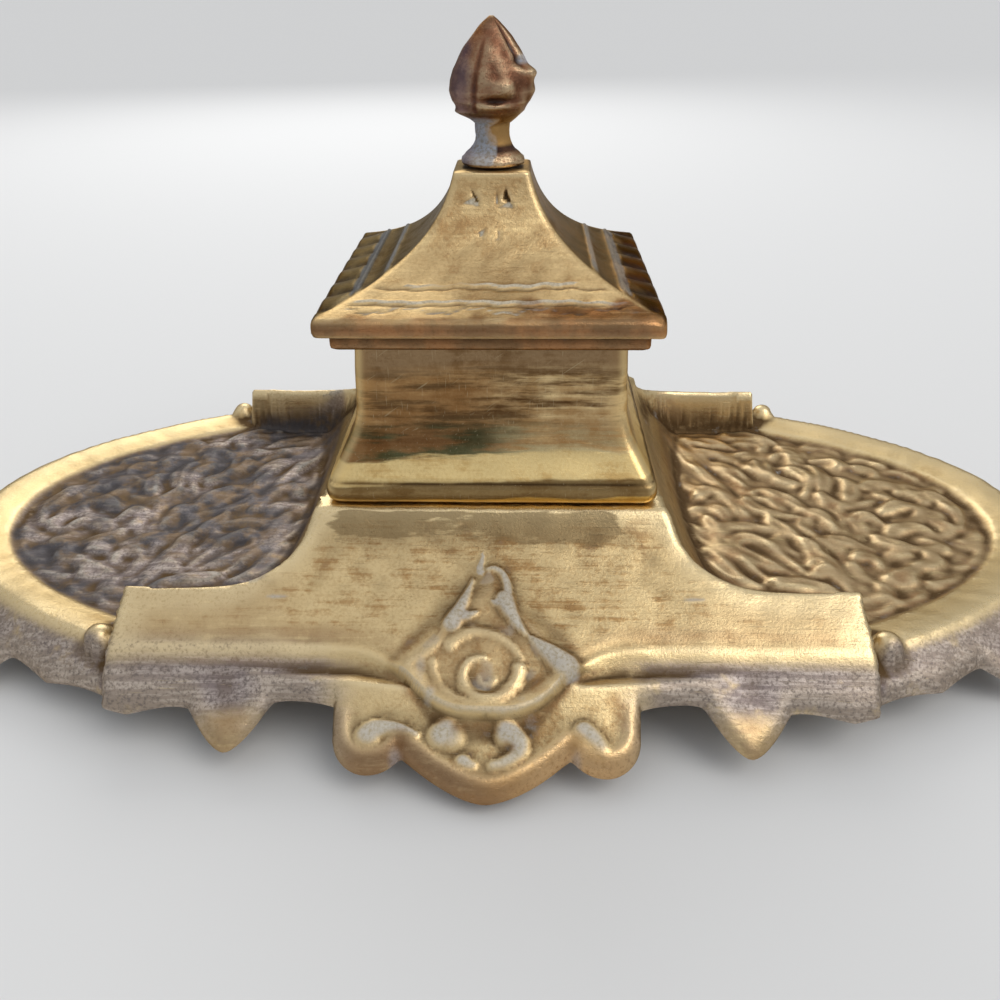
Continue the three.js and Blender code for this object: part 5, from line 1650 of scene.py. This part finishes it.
above_flange = finial_points[:, 2] > flange_low + 0.1
flat_gap = np.maximum(np.hypot(finial_points[:, 0], finial_points[:, 1]), 0.5)
push = np.where(above_flange, worn_bud / flat_gap, 0.0)
push *= smooth_step(bud_high - 0.1, bud_high - 1.4, finial_points[:, 2])
finial_points[:, :2] *= (1.0 + push)[:, None]
bud_crest, bud_hollow = relief_masks(finial_points, triangles(finial_faces), 8, 0.16)
fin_x, fin_y, fin_z = finial_points.T
ragged_x = fin_x + 1.1 * waver(fin_x + fin_y, fin_z, 3.5, 12)
neck_bloom = smooth_step(1.2, -0.6, ragged_x)
neck_bloom *= smooth_step(97.0, 94.5, fin_z) * smooth_step(87.8, 88.6, fin_z)
tip_bloom = 0.8 * hump(fin_z, 105.0, 0.9) * smooth_step(3.5, 5.0, fin_x)
lip_bloom = 0.25 * hump(fin_z, 98.6, 0.4) * smooth_step(-4.0, -6.0, fin_y)
finial_piece = make_piece("cast_bud_finial", finial_points, finial_faces, {
    "crest": bud_crest,
    "hollow": bud_hollow,
    "bloom": np.clip(neck_bloom * 0.95 + tip_bloom + lip_bloom, 0.0, 1.0),
    "stain_and_shade": 0.6 * smooth_step(1.0, -3.0, fin_x),
    # Painted highlight on the right of the neck
    "painted_highlight": 0.8 * hump(fin_z, 93.4, 1.8) * smooth_step(0.0, 1.5, fin_x),
}, sharp=60.0)


def bud_tarnish(tree, where, color):
    """Purple-grey film on the left of the bud, brass colour on its neck."""
    split = add_node(tree, "SeparateXYZ", {"Vector": where}).outputs
    clouds = noise(tree, where, 260.0, 5.0)
    left = weigh(tree, split[0], (clouds, 0.004))
    dusk = mix(tree, fade(tree, clouds, 0.4, 0.6), paint(92, 80, 92), paint(128, 108, 108))
    color = mix(tree, times(tree, fade(tree, left, -0.0002, -0.0030), 0.75), color, dusk)
    over_foot = fade(tree, split[2], 0.0908, 0.0916)
    neck = times(tree, over_foot, fade(tree, split[2], 0.0972, 0.0950))
    neck = times(tree, neck, fade(tree, left, 0.0006, 0.0030))
    return mix(tree, times(tree, neck, 0.7), color, paint(190, 150, 92))


bud_brass = brass(
    "red_bud_brass", bare=paint(136, 96, 74), film=paint(102, 70, 54),
    dark=paint(66, 48, 42), chalk=paint(176, 184, 196), film_amount=0.26, streaks=0.1,
    bump=0.00022, masks=("crest", "hollow", "bloom", "stain_and_shade", "painted_highlight"), tint=bud_tarnish,
)
finial_piece.data.materials.append(bud_brass)
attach(finial_piece, "lid_unit")
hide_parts("finial")

# Finial nut: a small steel hexagon nut with both ends bevelled. It holds the
# finial's stud inside the lid.
nut_low, nut_high = [1000.0 * corner.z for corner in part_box("finial_nut")]
nut_across = 7.0
bore_radius = 1.95


def hex_ring(share, z):
    """Hexagon ring, pulled in towards a circle for the bevels."""
    angle = np.linspace(0.0, 2.0 * math.pi, 72, endpoint=False)
    sector = np.mod(angle, math.pi / 3.0) - math.pi / 6.0
    radius = np.minimum(nut_across / 2.0 / np.cos(sector), nut_across / 2.0 * share)
    return np.column_stack([radius * np.cos(angle), radius * np.sin(angle), np.full(72, z)])


nut_rings = [
    lathe_ring(bore_radius, nut_low), lathe_ring(bore_radius + 0.3, nut_low),
    hex_ring(1.0, nut_low), hex_ring(1.2, nut_low + 0.4),
    hex_ring(1.2, nut_high - 0.4), hex_ring(1.0, nut_high),
    lathe_ring(bore_radius + 0.3, nut_high), lathe_ring(bore_radius, nut_high),
]
nut_piece = make_piece("hexagon_nut", *skin(nut_rings, closed=True), sharp=30.0)
nut_piece.data.materials.append(dull_steel)
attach(nut_piece, "lid_unit")
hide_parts("finial_nut")
